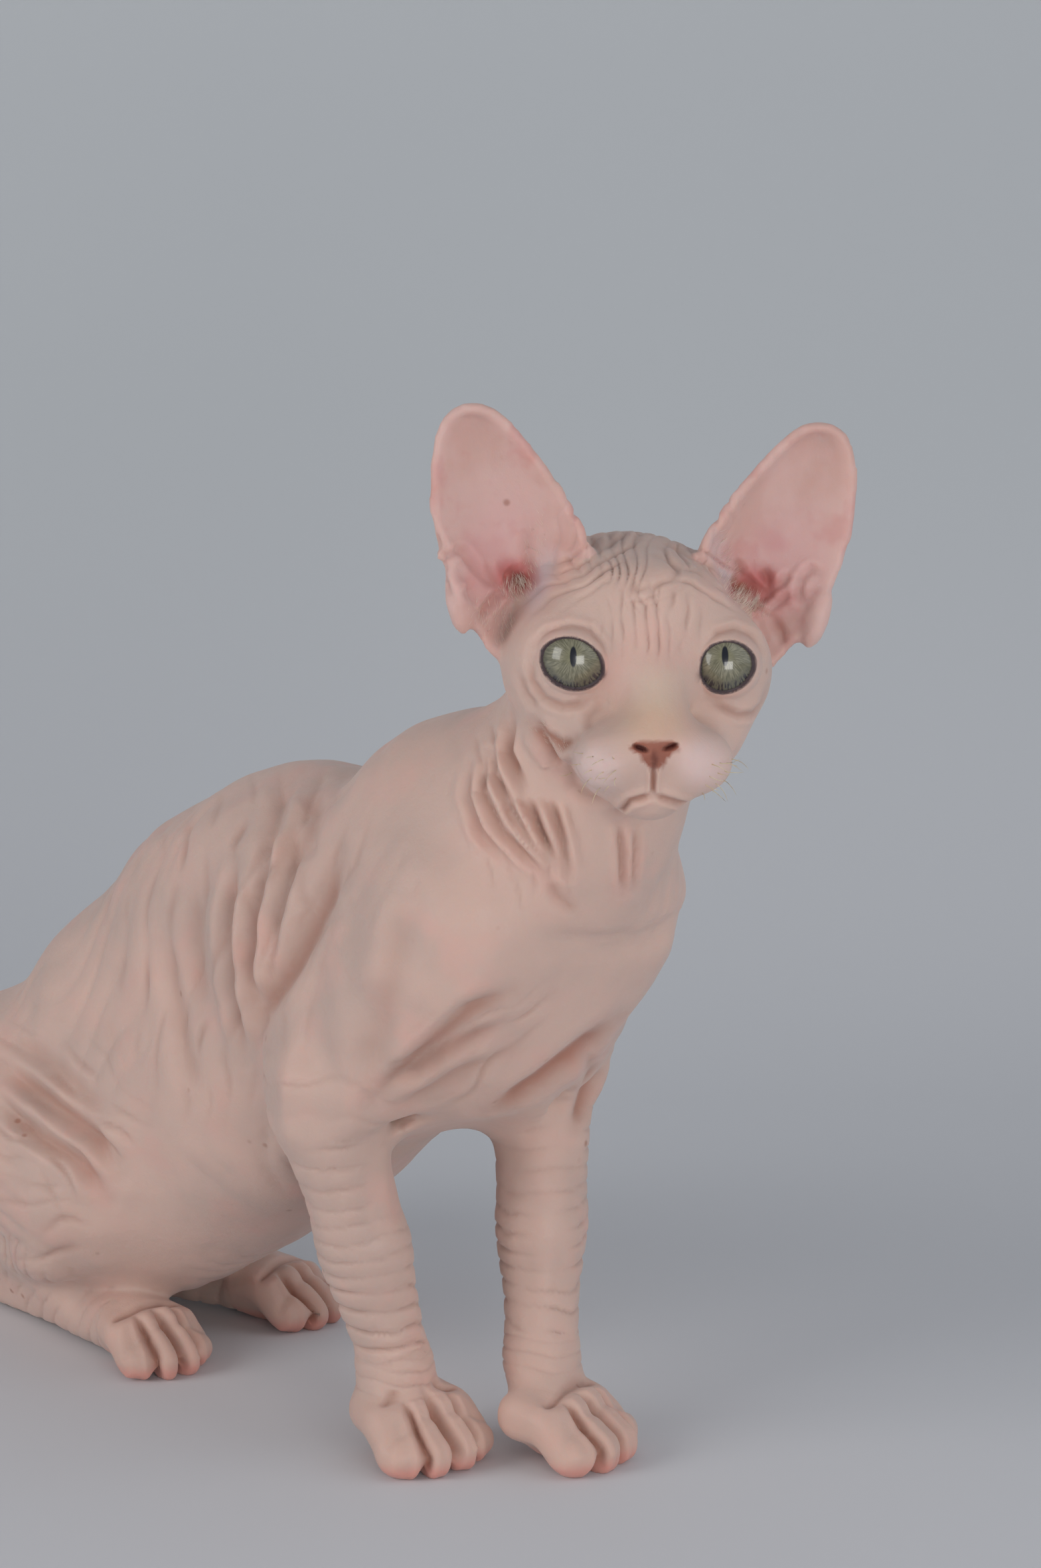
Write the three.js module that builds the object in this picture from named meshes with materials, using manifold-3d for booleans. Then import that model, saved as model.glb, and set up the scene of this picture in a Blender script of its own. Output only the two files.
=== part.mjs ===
// Sphynx kitten, life size, half crouched on straight forelegs with the head turned to its right.
// Millimetres, +Z up, floor at z = 0. The kitten faces -Y, its right side is -X.
// The body is one blended volume of limbs and eggs, parted into named pieces by thin cuts.

import * as THREE from 'three';
import * as BufferGeometryUtils from 'three/addons/utils/BufferGeometryUtils.js';
import Module from 'manifold-3d';

const wasm = await Module();
wasm.setup();

// Driving dimensions
const CUT_GAP = 0.3;            // clear space between neighbouring pieces
const TRUNK_FACET = 15;         // facet size on the trunk
const NECK_FACET = 11;
const LEG_FACET = 8;
const HEAD_FACET = 5.2;
const PAW_FACET = 3.9;

const HEAD_PLACE = new THREE.Vector3(-11, -47.5, 204.5);   // middle between the eyeballs
const HEAD_YAW = 40;            // degrees that the face turns to the kitten's right
const HEAD_ROLL = 3.8;          // degrees that the left ear sinks
const EYE_HALF_SPACING = 17.3;
const EYE_RADIUS = 8.6;
const EYE_DEPTH = -1.2;         // eyeball centre behind the face's datum
const EAR_THICKNESS = 2.0;

const SPINE_X = 19;             // middle of the hindquarters
const HIP_HALF_WIDTH = 18;
const THIGH_INNER_SPACING = 11; // from the spine out to the thigh's inner cut
const KNEE_HALF_WIDTH = 36;
const HEEL_HALF_WIDTH = 12;
const HIND_TOE_HALF_WIDTH = 27;

// Colours
const SKIN = { color: 0xc9a595, roughness: 0.55, metalness: 0 };
const EAR_SKIN = { color: 0xd59a90, roughness: 0.55, metalness: 0 };
const NOSE_LEATHER = { color: 0x8e4a3a, roughness: 0.45, metalness: 0 };
const IRIS = { color: 0x8d9075, roughness: 0.08, metalness: 0 };
const CLAW_HORN = { color: 0xd8c8b4, roughness: 0.35, metalness: 0 };

const CLAW_LENGTH = 4.2;
const CLAW_RADIUS = 0.95;
const NOSE_HALF_WIDTH = 5.6;

// The tail, unseen in the photo, hangs from the croup and lies on the floor round the left haunch
const TAIL_ROOT = new THREE.Vector3(21, 229, 41);
const TAIL_LENGTHS = 4;
const TAIL_SIDES = 10;

const v3 = (x, y, z) => new THREE.Vector3(x, y, z);
const rad = THREE.MathUtils.degToRad;

// Distance fields: each is a function of a point, negative inside

/** A limb: a rod from a to b whose radius runs from ra to rb. */
function limb(a, b, ra, rb) {
  const axis = b.clone().sub(a);
  const lengthSq = axis.lengthSq();
  return (p) => {
    const dx = p.x - a.x, dy = p.y - a.y, dz = p.z - a.z;
    const along = (dx * axis.x + dy * axis.y + dz * axis.z) / lengthSq;
    const t = Math.min(1, Math.max(0, along));
    const off = Math.hypot(dx - t * axis.x, dy - t * axis.y, dz - t * axis.z);
    return off - ra - t * (rb - ra);
  };
}

/** An egg: an ellipsoid with its radii along X, Y and Z. */
function egg(c, rx, ry, rz) {
  return (p) => {
    const x = (p.x - c.x) / rx, y = (p.y - c.y) / ry, z = (p.z - c.z) / rz;
    const k0 = Math.hypot(x, y, z);
    const k1 = Math.hypot(x / rx, y / ry, z / rz);
    return k1 < 1e-9 ? -Math.min(rx, ry, rz) : (k0 * (k0 - 1)) / k1;
  };
}

/** Smooth union of fields, with a fillet of about the given size. */
function blend(fillet, ...fields) {
  return (p) => fields.reduce((near, field) => {
    const d = field(p);
    const h = Math.max(fillet - Math.abs(near - d), 0) / fillet;
    return Math.min(near, d) - (h * h * fillet) / 4;
  }, 1e3);
}

/** A field laid out in a local frame, placed by a matrix without scale. */
function placed(matrix, field) {
  const inverse = matrix.clone().invert();
  const local = v3(0, 0, 0);
  return (p) => field(local.copy(p).applyMatrix4(inverse));
}

/** A frame at a place, turned about Z (degrees), then rolled about its own forward axis. */
function frameAt(place, yaw, roll = 0) {
  const turn = new THREE.Quaternion().setFromAxisAngle(v3(0, 0, 1), rad(yaw));
  turn.multiply(new THREE.Quaternion().setFromAxisAngle(v3(0, 1, 0), rad(roll)));
  return new THREE.Matrix4().compose(place, turn, v3(1, 1, 1));
}

/** Faceted surface of a field inside a box, its corners pulled onto the field's surface. */
function facet(field, low, high, step) {
  const count = ['x', 'y', 'z'].map((k) => Math.ceil((high[k] - low[k]) / step) + 1);
  const [nx, ny, nz] = count;
  const at = (i, j, k) => (k * ny + j) * nx + i;
  const point = (i, j, k) => v3(low.x + i * step, low.y + j * step, low.z + k * step);
  const value = new Float64Array(nx * ny * nz);
  for (let k = 0; k < nz; k++) {
    for (let j = 0; j < ny; j++) {
      for (let i = 0; i < nx; i++) {
        const rim = i === 0 || j === 0 || k === 0 || i === nx - 1 || j === ny - 1 || k === nz - 1;
        value[at(i, j, k)] = rim ? step : field(point(i, j, k));
      }
    }
  }
  settle(value, [nx, ny, nz], step);
  const corners = [];
  const cellVertex = new Int32Array(nx * ny * nz).fill(-1);
  for (let k = 0; k < nz - 1; k++) {
    for (let j = 0; j < ny - 1; j++) {
      for (let i = 0; i < nx - 1; i++) {
        const sum = v3(0, 0, 0);
        let hits = 0;
        for (let e = 0; e < 12; e++) {
          const axis = e >> 2, u = e & 1, w = (e >> 1) & 1;
          const a = axis === 0 ? [i, j + u, k + w] : axis === 1 ? [i + u, j, k + w] : [i + u, j + w, k];
          const b = a.map((n, m) => n + (m === axis ? 1 : 0));
          const va = value[at(...a)], vb = value[at(...b)];
          if ((va < 0) !== (vb < 0)) {
            sum.add(point(...a).lerp(point(...b), va / (va - vb)));
            hits++;
          }
        }
        if (hits) {
          cellVertex[at(i, j, k)] = corners.length;
          corners.push(pulled(field, sum.divideScalar(hits), step));
        }
      }
    }
  }
  const index = [];
  const quad = (a, b, c, d, flip) => index.push(...(flip ? [a, c, b, a, d, c] : [a, b, c, a, c, d]));
  for (let k = 0; k < nz - 1; k++) {
    for (let j = 0; j < ny - 1; j++) {
      for (let i = 0; i < nx - 1; i++) {
        const inside = value[at(i, j, k)] < 0;
        const cell = (di, dj, dk) => cellVertex[at(i + di, j + dj, k + dk)];
        if (inside !== (value[at(i + 1, j, k)] < 0)) {
          quad(cell(0, -1, -1), cell(0, 0, -1), cell(0, 0, 0), cell(0, -1, 0), !inside);
        }
        if (inside !== (value[at(i, j + 1, k)] < 0)) {
          quad(cell(-1, 0, -1), cell(-1, 0, 0), cell(0, 0, 0), cell(0, 0, -1), !inside);
        }
        if (inside !== (value[at(i, j, k + 1)] < 0)) {
          quad(cell(-1, -1, 0), cell(0, -1, 0), cell(0, 0, 0), cell(-1, 0, 0), !inside);
        }
      }
    }
  }
  return closedGeometry(corners, index);
}

/** Turns one corner of each grid square whose signs alternate, so that no two surfaces touch there. */
function settle(value, [nx, ny, nz], step) {
  const strides = [1, nx, nx * ny];
  const squares = [[0, 1], [1, 2], [0, 2]];
  let turned = true;
  while (turned) {
    turned = false;
    for (let cell = 0; cell + strides[1] + strides[2] + 1 < nx * ny * nz; cell++) {
      for (const [u, w] of squares) {
        const ring = [cell, cell + strides[u], cell + strides[u] + strides[w], cell + strides[w]];
        const inside = ring.map((n) => value[n] < 0);
        if (inside[0] === inside[2] && inside[1] === inside[3] && inside[0] !== inside[1]) {
          const outer = ring.filter((n) => value[n] >= 0);
          const nearest = value[outer[0]] < value[outer[1]] ? outer[0] : outer[1];
          value[nearest] = -0.05 * step;
          turned = true;
        }
      }
    }
  }
}

/** A point moved onto a field's surface along its slope, by half a step at most. */
function pulled(field, p, step) {
  const reach = step / 2;
  const start = p.clone();
  const probe = 0.05;
  for (let round = 0; round < 4; round++) {
    const d = field(p);
    const slope = v3(
      field(v3(p.x + probe, p.y, p.z)) - d,
      field(v3(p.x, p.y + probe, p.z)) - d,
      field(v3(p.x, p.y, p.z + probe)) - d,
    ).divideScalar(probe);
    p.addScaledVector(slope, -d / Math.max(slope.lengthSq(), 0.2));
  }
  const move = p.clone().sub(start).clampLength(0, reach);
  return start.add(move);
}

function closedGeometry(points, index) {
  const geometry = new THREE.BufferGeometry();
  geometry.setAttribute('position', new THREE.Float32BufferAttribute(points.flatMap((p) => p.toArray()), 3));
  geometry.setIndex(index);
  return geometry;
}

// Solids: cutting and joining

function solidOf(geometry) {
  const bare = geometry.clone();
  bare.deleteAttribute('normal');
  bare.deleteAttribute('uv');
  const merged = BufferGeometryUtils.mergeVertices(bare, 1e-4);
  return new wasm.Manifold(new wasm.Mesh({
    numProp: 3,
    vertProperties: new Float32Array(merged.attributes.position.array),
    triVerts: new Uint32Array(merged.index.array),
  }));
}

/** A solid's surface with corners nearer than the grain made one, and the slivers between them dropped. */
function geometryOf(solid) {
  const mesh = solid.getMesh();
  const grain = 0.004;
  const seen = new Map();
  const points = [];
  const corner = [];
  for (let n = 0; n < mesh.vertProperties.length; n += 3) {
    const cell = [0, 1, 2].map((k) => Math.round(mesh.vertProperties[n + k] / grain));
    const key = cell.join();
    if (!seen.has(key)) {
      seen.set(key, points.length);
      points.push(v3(...cell.map((c) => c * grain)));
    }
    corner.push(seen.get(key));
  }
  const index = [];
  for (let n = 0; n < mesh.triVerts.length; n += 3) {
    const [a, b, c] = [0, 1, 2].map((k) => corner[mesh.triVerts[n + k]]);
    if (a !== b && b !== c && c !== a) index.push(a, b, c);
  }
  const geometry = closedGeometry(points, index);
  geometry.computeVertexNormals();
  return geometry;
}

/** The half of space on the far side of a cut plane, held back by half the gap. */
function beyond(place, normal, gap = CUT_GAP) {
  const size = 900;
  const n = normal.clone().normalize();
  const box = new THREE.BoxGeometry(size, size, size);
  box.applyQuaternion(new THREE.Quaternion().setFromUnitVectors(v3(0, 0, 1), n));
  const centre = place.clone().addScaledVector(n, size / 2 + gap / 2);
  box.translate(centre.x, centre.y, centre.z);
  return solidOf(box);
}

/** An egg-shaped cutter with its long axis from a to b. */
function eggCutter(a, b, radius, overshoot, grow = 0) {
  const axis = b.clone().sub(a);
  const half = axis.length() / 2 + overshoot;
  const ball = new THREE.IcosahedronGeometry(1, 3);
  ball.scale(radius + grow, radius + grow, half + grow);
  ball.applyQuaternion(new THREE.Quaternion().setFromUnitVectors(v3(0, 0, 1), axis.normalize()));
  const centre = a.clone().lerp(b, 0.5);
  ball.translate(centre.x, centre.y, centre.z);
  return solidOf(ball);
}

/** The largest of the separate bodies of a solid, which drops crumbs left by a cut. */
function mainBody(solid) {
  const bodies = solid.decompose();
  return bodies.reduce((best, next) => (next.volume() > best.volume() ? next : best));
}

const floorAndUp = beyond(v3(0, 0, 0), v3(0, 0, 1), 0);

// Trunk: a back line and a belly line of limbs, with chest and shoulders
const BACK_RADIUS = 30;
const BELLY_RADIUS = 35;
const backLine = [
  v3(5, 46, 134.5), v3(12, 80, 132), v3(16, 110, 117.5), v3(SPINE_X, 146, 87.5),
  v3(SPINE_X + 1, 184, 54.5), v3(SPINE_X + 1, 203, 37),
];
const backRadii = [31, BACK_RADIUS, BACK_RADIUS, BACK_RADIUS, 29, 26];
const bellyLine = [v3(7, 52, 102), v3(11, 84, 84), v3(15, 114, 66), v3(17, 144, 50), v3(SPINE_X, 178, 42)];
const bellyRadii = [31, 34, BELLY_RADIUS, BELLY_RADIUS + 1, 30];

function chain(points, radii) {
  return points.slice(1).map((end, n) => limb(points[n], end, radii[n], radii[n + 1]));
}

const SHOULDER = { right: v3(-22, 3, 136), left: v3(19, -8, 138) };
const ELBOW = { right: v3(-29, 37.5, 92), left: v3(32, 20, 91) };
const WRIST = { right: v3(-14, 28.5, 21), left: v3(15.6, 6.2, 21) };
const SHOULDER_BLADE = { right: v3(-6, 25, 160), left: v3(17, 22, 162) };
const BLADE_RADIUS = 16.5;

const chest = [
  egg(v3(3, 16, 127), 33, 35, 42),
  egg(v3(0, -4, 140), 24, 22, 26),
  limb(v3(5, 30, 122), v3(8, 56, 118), 35, 36),
];
const neckLine = [v3(4, 12, 155), v3(1, -11, 164), v3(5, -25, 183)];
const neck = chain(neckLine, [31, 26, 20.5]);

const downLeg = (side, part) => ELBOW[side].clone().lerp(WRIST[side], part);

function shoulder(side) {
  return [
    limb(SHOULDER_BLADE[side], SHOULDER[side], BLADE_RADIUS, 18),
    limb(SHOULDER[side], ELBOW[side], 18, 13.2),
    limb(ELBOW[side], downLeg(side, 0.12), 13.2, 12.4),
  ];
}

function forearm(side) {
  return [
    limb(SHOULDER[side], ELBOW[side], 18, 13.2),
    limb(ELBOW[side], downLeg(side, 0.55), 13.2, 10.4),
    limb(downLeg(side, 0.55), WRIST[side], 10.4, 8.7),
  ];
}

const mirrorHind = (side, half, y, z) => v3(SPINE_X + (side === 'right' ? -half : half), y, z);
const hip = (side) => mirrorHind(side, HIP_HALF_WIDTH, 192, 60);
const knee = (side) => mirrorHind(side, KNEE_HALF_WIDTH, 143, 42);
const ankle = (side) => mirrorHind(side, HEEL_HALF_WIDTH, 193, 17);
const thigh = (side) => limb(hip(side), knee(side), 26, 15);
const shank = (side) => limb(knee(side).add(v3(0, 4, -10)), ankle(side), 12, 9);

const trunkField = blend(
  14,
  ...chain(backLine, backRadii), ...chain(bellyLine, bellyRadii), ...chest, ...neck,
  ...shoulder('right'), ...shoulder('left'), thigh('right'), thigh('left'),
  limb(v3(SPINE_X + 1, 205, 50), v3(SPINE_X + 2, 233, 37), 17, 8),
);

// Paws: four toes around a pad, drawn from the middle of the toe pads forward along -Y
const FORE_PAW = { spread: [3.7, 10.8], toeRadius: 5.2, knuckle: 12.6, back: 17, padWidth: 8.6 };
const HIND_PAW = { spread: [3.2, 9.0], toeRadius: 4.7, knuckle: 11.6, back: 18, padWidth: 7.4 };
const PAD_FLAT = 0.45;          // how far a resting pad is flattened by the floor

function pawField(paw) {
  const toes = [];
  for (const side of [-1, 1]) {
    paw.spread.forEach((x, n) => {
      const reach = n === 0 ? -4.5 : -0.5;
      const r = paw.toeRadius;
      const tip = v3(side * (x + 0.6), reach, r - PAD_FLAT);
      const knuckle = v3(side * x, reach + 8, paw.knuckle - 1.2);
      const root = v3(side * x * 0.72, reach + paw.back, paw.knuckle - 0.8);
      toes.push(blend(1.5, limb(tip, knuckle, r, r * 0.88), limb(knuckle, root, r * 0.88, r * 1.05)));
    });
  }
  const pad = egg(v3(0, 9.5, 4.6), paw.padWidth, 6.4, 5.0);
  const arch = egg(v3(0, 13, 9.5), paw.padWidth + 1, 9, 5.2);
  return blend(3.5, blend(1.3, ...toes), pad, arch);
}

const FORE_TOES = {
  right: { place: v3(-16.5, 13.5, 0), yaw: -12 },
  left: { place: v3(11, -14, 0), yaw: 8 },
};
const HIND_TOES = {
  right: { place: mirrorHind('right', HIND_TOE_HALF_WIDTH, 116, 0), yaw: -10 },
  left: { place: mirrorHind('left', HIND_TOE_HALF_WIDTH, 116, 0), yaw: 10 },
};

function forePawFrame(side) {
  return frameAt(FORE_TOES[side].place, FORE_TOES[side].yaw);
}

function hindPawFrame(side) {
  return frameAt(HIND_TOES[side].place, HIND_TOES[side].yaw);
}

function forefootField(side) {
  const frame = forePawFrame(side);
  const root = v3(0, 14, 11).applyMatrix4(frame);
  const outside = side === 'right' ? -1 : 1;
  const carpalPad = v3(outside * 3, 20, 9).applyMatrix4(frame);
  const dewToe = v3(-outside * 10, 15, 11).applyMatrix4(frame);
  return blend(
    4,
    placed(frame, pawField(FORE_PAW)),
    limb(WRIST[side], root, 8.6, 7.8), limb(WRIST[side], downLeg(side, 0.55), 8.7, 10.4),
    egg(carpalPad, 3.4, 3.4, 4), egg(dewToe, 3.2, 3.6, 4.4),
  );
}

function hindfootField(side) {
  const frame = hindPawFrame(side);
  const root = v3(0, 15, 9.2).applyMatrix4(frame);
  const heel = ankle(side).add(v3(0, 6, -9.6));
  return blend(
    4,
    placed(frame, pawField(HIND_PAW)),
    limb(root, heel, 8.4, 7.2), limb(root, ankle(side), 7.6, 9.5), shank(side),
  );
}

// Head, drawn in its own frame: x to its left, -y forward, z up, from the middle between the eyeballs
const headFrame = frameAt(HEAD_PLACE, -HEAD_YAW, HEAD_ROLL);
const pair = (make) => [make(-1), make(1)];

const skull = [
  egg(v3(0, 27, 2), 28, 30, 24.5),
  egg(v3(0, 7, 12), 19, 12, 11),
  ...pair((s) => egg(v3(s * 16.8, 13.5, -4), 14.6, 16, 15)),
  ...pair((s) => egg(v3(s * 16.6, 5, 0.5), 12, 9.6, 11.5)),
  ...pair((s) => egg(v3(s * 13, 9, -17), 12, 14, 10)),
  ...pair((s) => egg(v3(s * 24, 33, 13), 9, 9, 11)),
  ...pair((s) => limb(v3(0, -6, -26), v3(s * 14, 20, -19), 7, 10)),
];
const muzzle = [
  limb(v3(0, 1, 0), v3(0, -13, -12), 9, 6.6),
  ...pair((s) => egg(v3(s * 8.6, -11.5, -20), 9.2, 9.4, 7.6)),
  egg(v3(0, -17.6, -15.4), 6.4, 4.8, 4.4),
  egg(v3(0, -9.5, -28), 7.4, 7.4, 6),
];
const headField = placed(headFrame, blend(5, ...skull, ...muzzle));
const bodyField = blend(9, headField, trunkField);

const eyePlace = (side) => v3(side * EYE_HALF_SPACING, -EYE_DEPTH, 0).applyMatrix4(headFrame);

function eyeBall(side, grow = 0) {
  const ball = new THREE.SphereGeometry(EYE_RADIUS + grow, 16, 10);
  const place = eyePlace(side);
  ball.rotateX(Math.PI / 2);
  ball.applyQuaternion(new THREE.Quaternion().setFromRotationMatrix(headFrame));
  ball.translate(place.x, place.y, place.z);
  return solidOf(ball);
}

// Ears: a hollow leaf between an outer and an inner edge, both ending at the tip
const EAR_TIP = v3(43, 18, 54);
const earOuterEdge = new THREE.CatmullRomCurve3(
  [v3(32.5, 17, -3), v3(43, 15, 12), v3(49, 16, 29), v3(49.4, 17.5, 44), v3(47, 18, 51.6), EAR_TIP]);
const earInnerEdge = new THREE.CatmullRomCurve3(
  [v3(11, 13, 19), v3(18, 14, 33), v3(26, 16, 43.5), v3(32.6, 17, 50.4), v3(37.6, 17.6, 53.8), EAR_TIP]);
const EAR_HOLLOW = 11;          // depth of the ear's bowl behind its edges
const EAR_ROWS = 9;
const EAR_COLUMNS = 8;

function earSurface(t, across) {
  const outer = earOuterEdge.getPoint(t), inner = earInnerEdge.getPoint(t);
  const bowl = EAR_HOLLOW * (1 - t) ** 0.55 * (1 - (2 * across - 1) ** 2) ** 0.8;
  return outer.lerp(inner, across).add(v3(-0.25 * bowl, bowl, 0));
}

function earNormal(t, across) {
  const e = 0.01;
  const low = THREE.MathUtils.clamp(t, 0.01, 0.985);
  const mid = THREE.MathUtils.clamp(across, 0.02, 0.98);
  const rise = earSurface(low + e, mid).sub(earSurface(low - e, mid));
  const run = earSurface(low, mid + e).sub(earSurface(low, mid - e));
  return run.cross(rise).normalize();
}

function earGeometry(side) {
  const layers = [[], []];
  for (let row = 0; row < EAR_ROWS; row++) {
    const t = 1 - (1 - row / EAR_ROWS) ** 1.35;
    for (let column = 0; column <= EAR_COLUMNS; column++) {
      const across = (1 - Math.cos((column / EAR_COLUMNS) * Math.PI)) / 2;
      const skin = earSurface(t, across);
      const shift = earNormal(t, across).multiplyScalar(EAR_THICKNESS / 2);
      layers[0].push(skin.clone().sub(shift));
      layers[1].push(skin.add(shift));
    }
  }
  const tipShift = earNormal(1, 0.5).multiplyScalar(EAR_THICKNESS / 2);
  layers[0].push(EAR_TIP.clone().sub(tipShift));
  layers[1].push(EAR_TIP.clone().add(tipShift));
  const width = EAR_COLUMNS + 1;
  const size = layers[0].length;
  const tip = size - 1;
  const index = [];
  const tri = (a, b, c) => index.push(a, b, c);
  for (let row = 0; row < EAR_ROWS; row++) {
    for (let column = 0; column < EAR_COLUMNS; column++) {
      const a = row * width + column, b = a + 1;
      const c = row + 1 < EAR_ROWS ? a + width : tip;
      const d = row + 1 < EAR_ROWS ? b + width : tip;
      tri(a, b, c);
      tri(size + a, size + c, size + b);
      if (c !== d) {
        tri(b, d, c);
        tri(size + b, size + c, size + d);
      }
    }
  }
  const rim = [];
  for (let column = 0; column <= EAR_COLUMNS; column++) rim.push(column);
  for (let row = 1; row < EAR_ROWS; row++) rim.push(row * width + EAR_COLUMNS);
  rim.push(tip);
  for (let row = EAR_ROWS - 1; row > 0; row--) rim.push(row * width);
  rim.forEach((a, n) => {
    const b = rim[(n + 1) % rim.length];
    tri(b, a, size + a);
    tri(b, size + a, size + b);
  });
  const geometry = closedGeometry([...layers[0], ...layers[1]], index);
  if (side < 0) {
    geometry.scale(-1, 1, 1);
    geometry.setIndex([...geometry.index.array].reverse());
  }
  geometry.applyMatrix4(headFrame);
  const solid = solidOf(geometry);
  return solid.volume() > 0 ? solid : solidOf(flipped(geometry));
}

function flipped(geometry) {
  const turned = geometry.clone();
  turned.setIndex([...geometry.index.array].reverse());
  return turned;
}

/** The skin fold at the foot of the ear's outer edge. */
function earPocket(side) {
  const lobe = new THREE.SphereGeometry(1, 8, 6);
  lobe.scale(2.6, 3.4, 8);
  lobe.rotateY(rad(side * 14));
  lobe.translate(side * 42.4, 15, 10);
  lobe.applyMatrix4(headFrame);
  return solidOf(lobe);
}

// Pieces
const pieces = new THREE.Group();

function addPiece(name, solid, look) {
  const mesh = new THREE.Mesh(geometryOf(mainBody(solid)), new THREE.MeshStandardMaterial(look));
  mesh.name = name;
  pieces.add(mesh);
}

const NECK_TOP_CUT = { place: v3(4, -16, 176), normal: v3(-0.25, -0.78, 0.58) };
const NECK_ROOT_CUT = { place: v3(3, 4, 158), normal: v3(-0.05, -0.62, 0.78) };
const LOIN_CUT = { place: v3(10, 64, 110), normal: v3(0.1, 0.99, -0.12) };
const TAIL_CUT = { place: v3(21, 231.5, 38), normal: v3(0.05, 0.75, -0.66) };
const HAUNCH_CUT = { place: v3(SPINE_X, 158, 70), normal: v3(0, 0.86, -0.5) };

const side3 = (cut, way = 1) => beyond(cut.place, cut.normal.clone().multiplyScalar(way));

const TRUNK_ROOM = [v3(-75, -75, -14), v3(100, 270, 240)];   // the box that the trunk is faceted in
const trunkSolid = solidOf(facet(trunkField, ...TRUNK_ROOM, TRUNK_FACET));
const trunkClear = solidOf(facet((p) => trunkField(p) - CUT_GAP, ...TRUNK_ROOM, TRUNK_FACET));
const neckSolid = solidOf(facet(bodyField, v3(-75, -75, 130), v3(75, 65, 215), NECK_FACET));

/** The room of the bare nose tip. */
function noseCutter(grow = 0) {
  const room = new THREE.SphereGeometry(1, 14, 9);
  room.scale(NOSE_HALF_WIDTH + grow, 5 + grow, 3.5 + grow);
  room.translate(0, -21, -15.6);
  room.applyMatrix4(headFrame);
  return solidOf(room);
}

const HEAD_ROOM = [v3(-60, -92, 146), v3(47, 30, 250)];   // the box that the head is faceted in

function addHead() {
  const eyes = [-1, 1];
  let head = solidOf(facet(bodyField, ...HEAD_ROOM, HEAD_FACET));
  head = head.intersect(side3(NECK_TOP_CUT));
  addPiece('nose_leather', head.intersect(noseCutter()), NOSE_LEATHER);
  head = head.subtract(noseCutter(CUT_GAP));
  for (const side of eyes) head = head.subtract(eyeBall(side, CUT_GAP));
  addPiece('head', head, SKIN);
  const aroundHead = solidOf(facet((p) => bodyField(p) - CUT_GAP, ...HEAD_ROOM, HEAD_FACET));
  for (const side of eyes) {
    const name = side < 0 ? 'right' : 'left';
    addPiece(`eye_${name}`, eyeBall(side), IRIS);
    const ear = earGeometry(side).add(earPocket(side)).subtract(aroundHead);
    addPiece(`ear_${name}`, ear, EAR_SKIN);
  }
}

const legSides = ['right', 'left'];
const armCutter = (side, grow) => eggCutter(SHOULDER[side], ELBOW[side], 24, 17, grow);

/** The room of a thigh: an egg along it, kept to its own side of the spine. */
function thighCutter(side, grow = 0) {
  const ahead = knee(side).add(v3(0, -6, -2)), behind = hip(side).add(v3(0, 8, 2));
  const outward = v3(side === 'right' ? -1 : 1, 0, 0);
  const inner = v3(SPINE_X, 0, 0).addScaledVector(outward, THIGH_INNER_SPACING);
  return eggCutter(behind, ahead, 27, 16, grow).intersect(beyond(inner, outward, -2 * grow));
}

function elbowCut(side) {
  const down = WRIST[side].clone().sub(ELBOW[side]).normalize();
  return { place: ELBOW[side].clone().addScaledVector(down, 7), normal: down };
}

function wristCut(side) {
  const down = WRIST[side].clone().sub(ELBOW[side]).normalize();
  return { place: WRIST[side].clone().addScaledVector(down, -6), normal: down };
}

/** The foreleg from the elbow cut down, or the room for it when grown by the gap. */
function forearmSolid(side, grow = 0) {
  const low = ELBOW[side].clone().min(WRIST[side]).subScalar(30).setZ(-6);
  const high = ELBOW[side].clone().max(WRIST[side]).addScalar(30);
  const field = blend(6, ...forearm(side));
  const elbow = elbowCut(side);
  return solidOf(facet((p) => field(p) - grow, low, high, LEG_FACET))
    .intersect(beyond(elbow.place, elbow.normal, CUT_GAP - 2 * grow));
}

function addTrunk() {
  const withoutLegs = (solid) => legSides.reduce((rest, side) => rest
    .subtract(armCutter(side, CUT_GAP)).subtract(forearmSolid(side, 2 * CUT_GAP))
    .subtract(thighCutter(side, CUT_GAP)), solid);
  const body = withoutLegs(trunkSolid).intersect(floorAndUp);
  addPiece('neck', neckSolid.intersect(side3(NECK_TOP_CUT, -1)).intersect(side3(NECK_ROOT_CUT))
    .subtract(armCutter('right', CUT_GAP)).subtract(armCutter('left', CUT_GAP)), SKIN);
  addPiece('chest', body.intersect(side3(NECK_ROOT_CUT, -1)).intersect(side3(LOIN_CUT, -1)), SKIN);
  addPiece('belly', body.intersect(side3(LOIN_CUT)).intersect(side3(HAUNCH_CUT, -1)), SKIN);
  addPiece('rump', body.intersect(side3(HAUNCH_CUT)).intersect(side3(TAIL_CUT, -1)), SKIN);
}

/** Two opposite corners of the box round a foot's toes. */
const roomRound = (place, low, high) => [place.clone().add(low), place.clone().add(high)];

function addForeleg(side) {
  const elbow = elbowCut(side), wrist = wristCut(side);
  addPiece(`foreleg_upper_${side}`, trunkSolid.intersect(armCutter(side)).intersect(side3(elbow, -1)), SKIN);
  addPiece(`foreleg_lower_${side}`, forearmSolid(side).intersect(side3(wrist, -1)), SKIN);
  const toes = FORE_TOES[side].place;
  const room = roomRound(toes, v3(-26, -22, -4), v3(26, 36, 40));
  const paw = solidOf(facet(forefootField(side), ...room, PAW_FACET));
  addPiece(`forepaw_${side}`, withClaws(paw.intersect(side3(wrist)).intersect(floorAndUp),
    forePawFrame(side), FORE_PAW, `fore_${side}`), SKIN);
}

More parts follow.
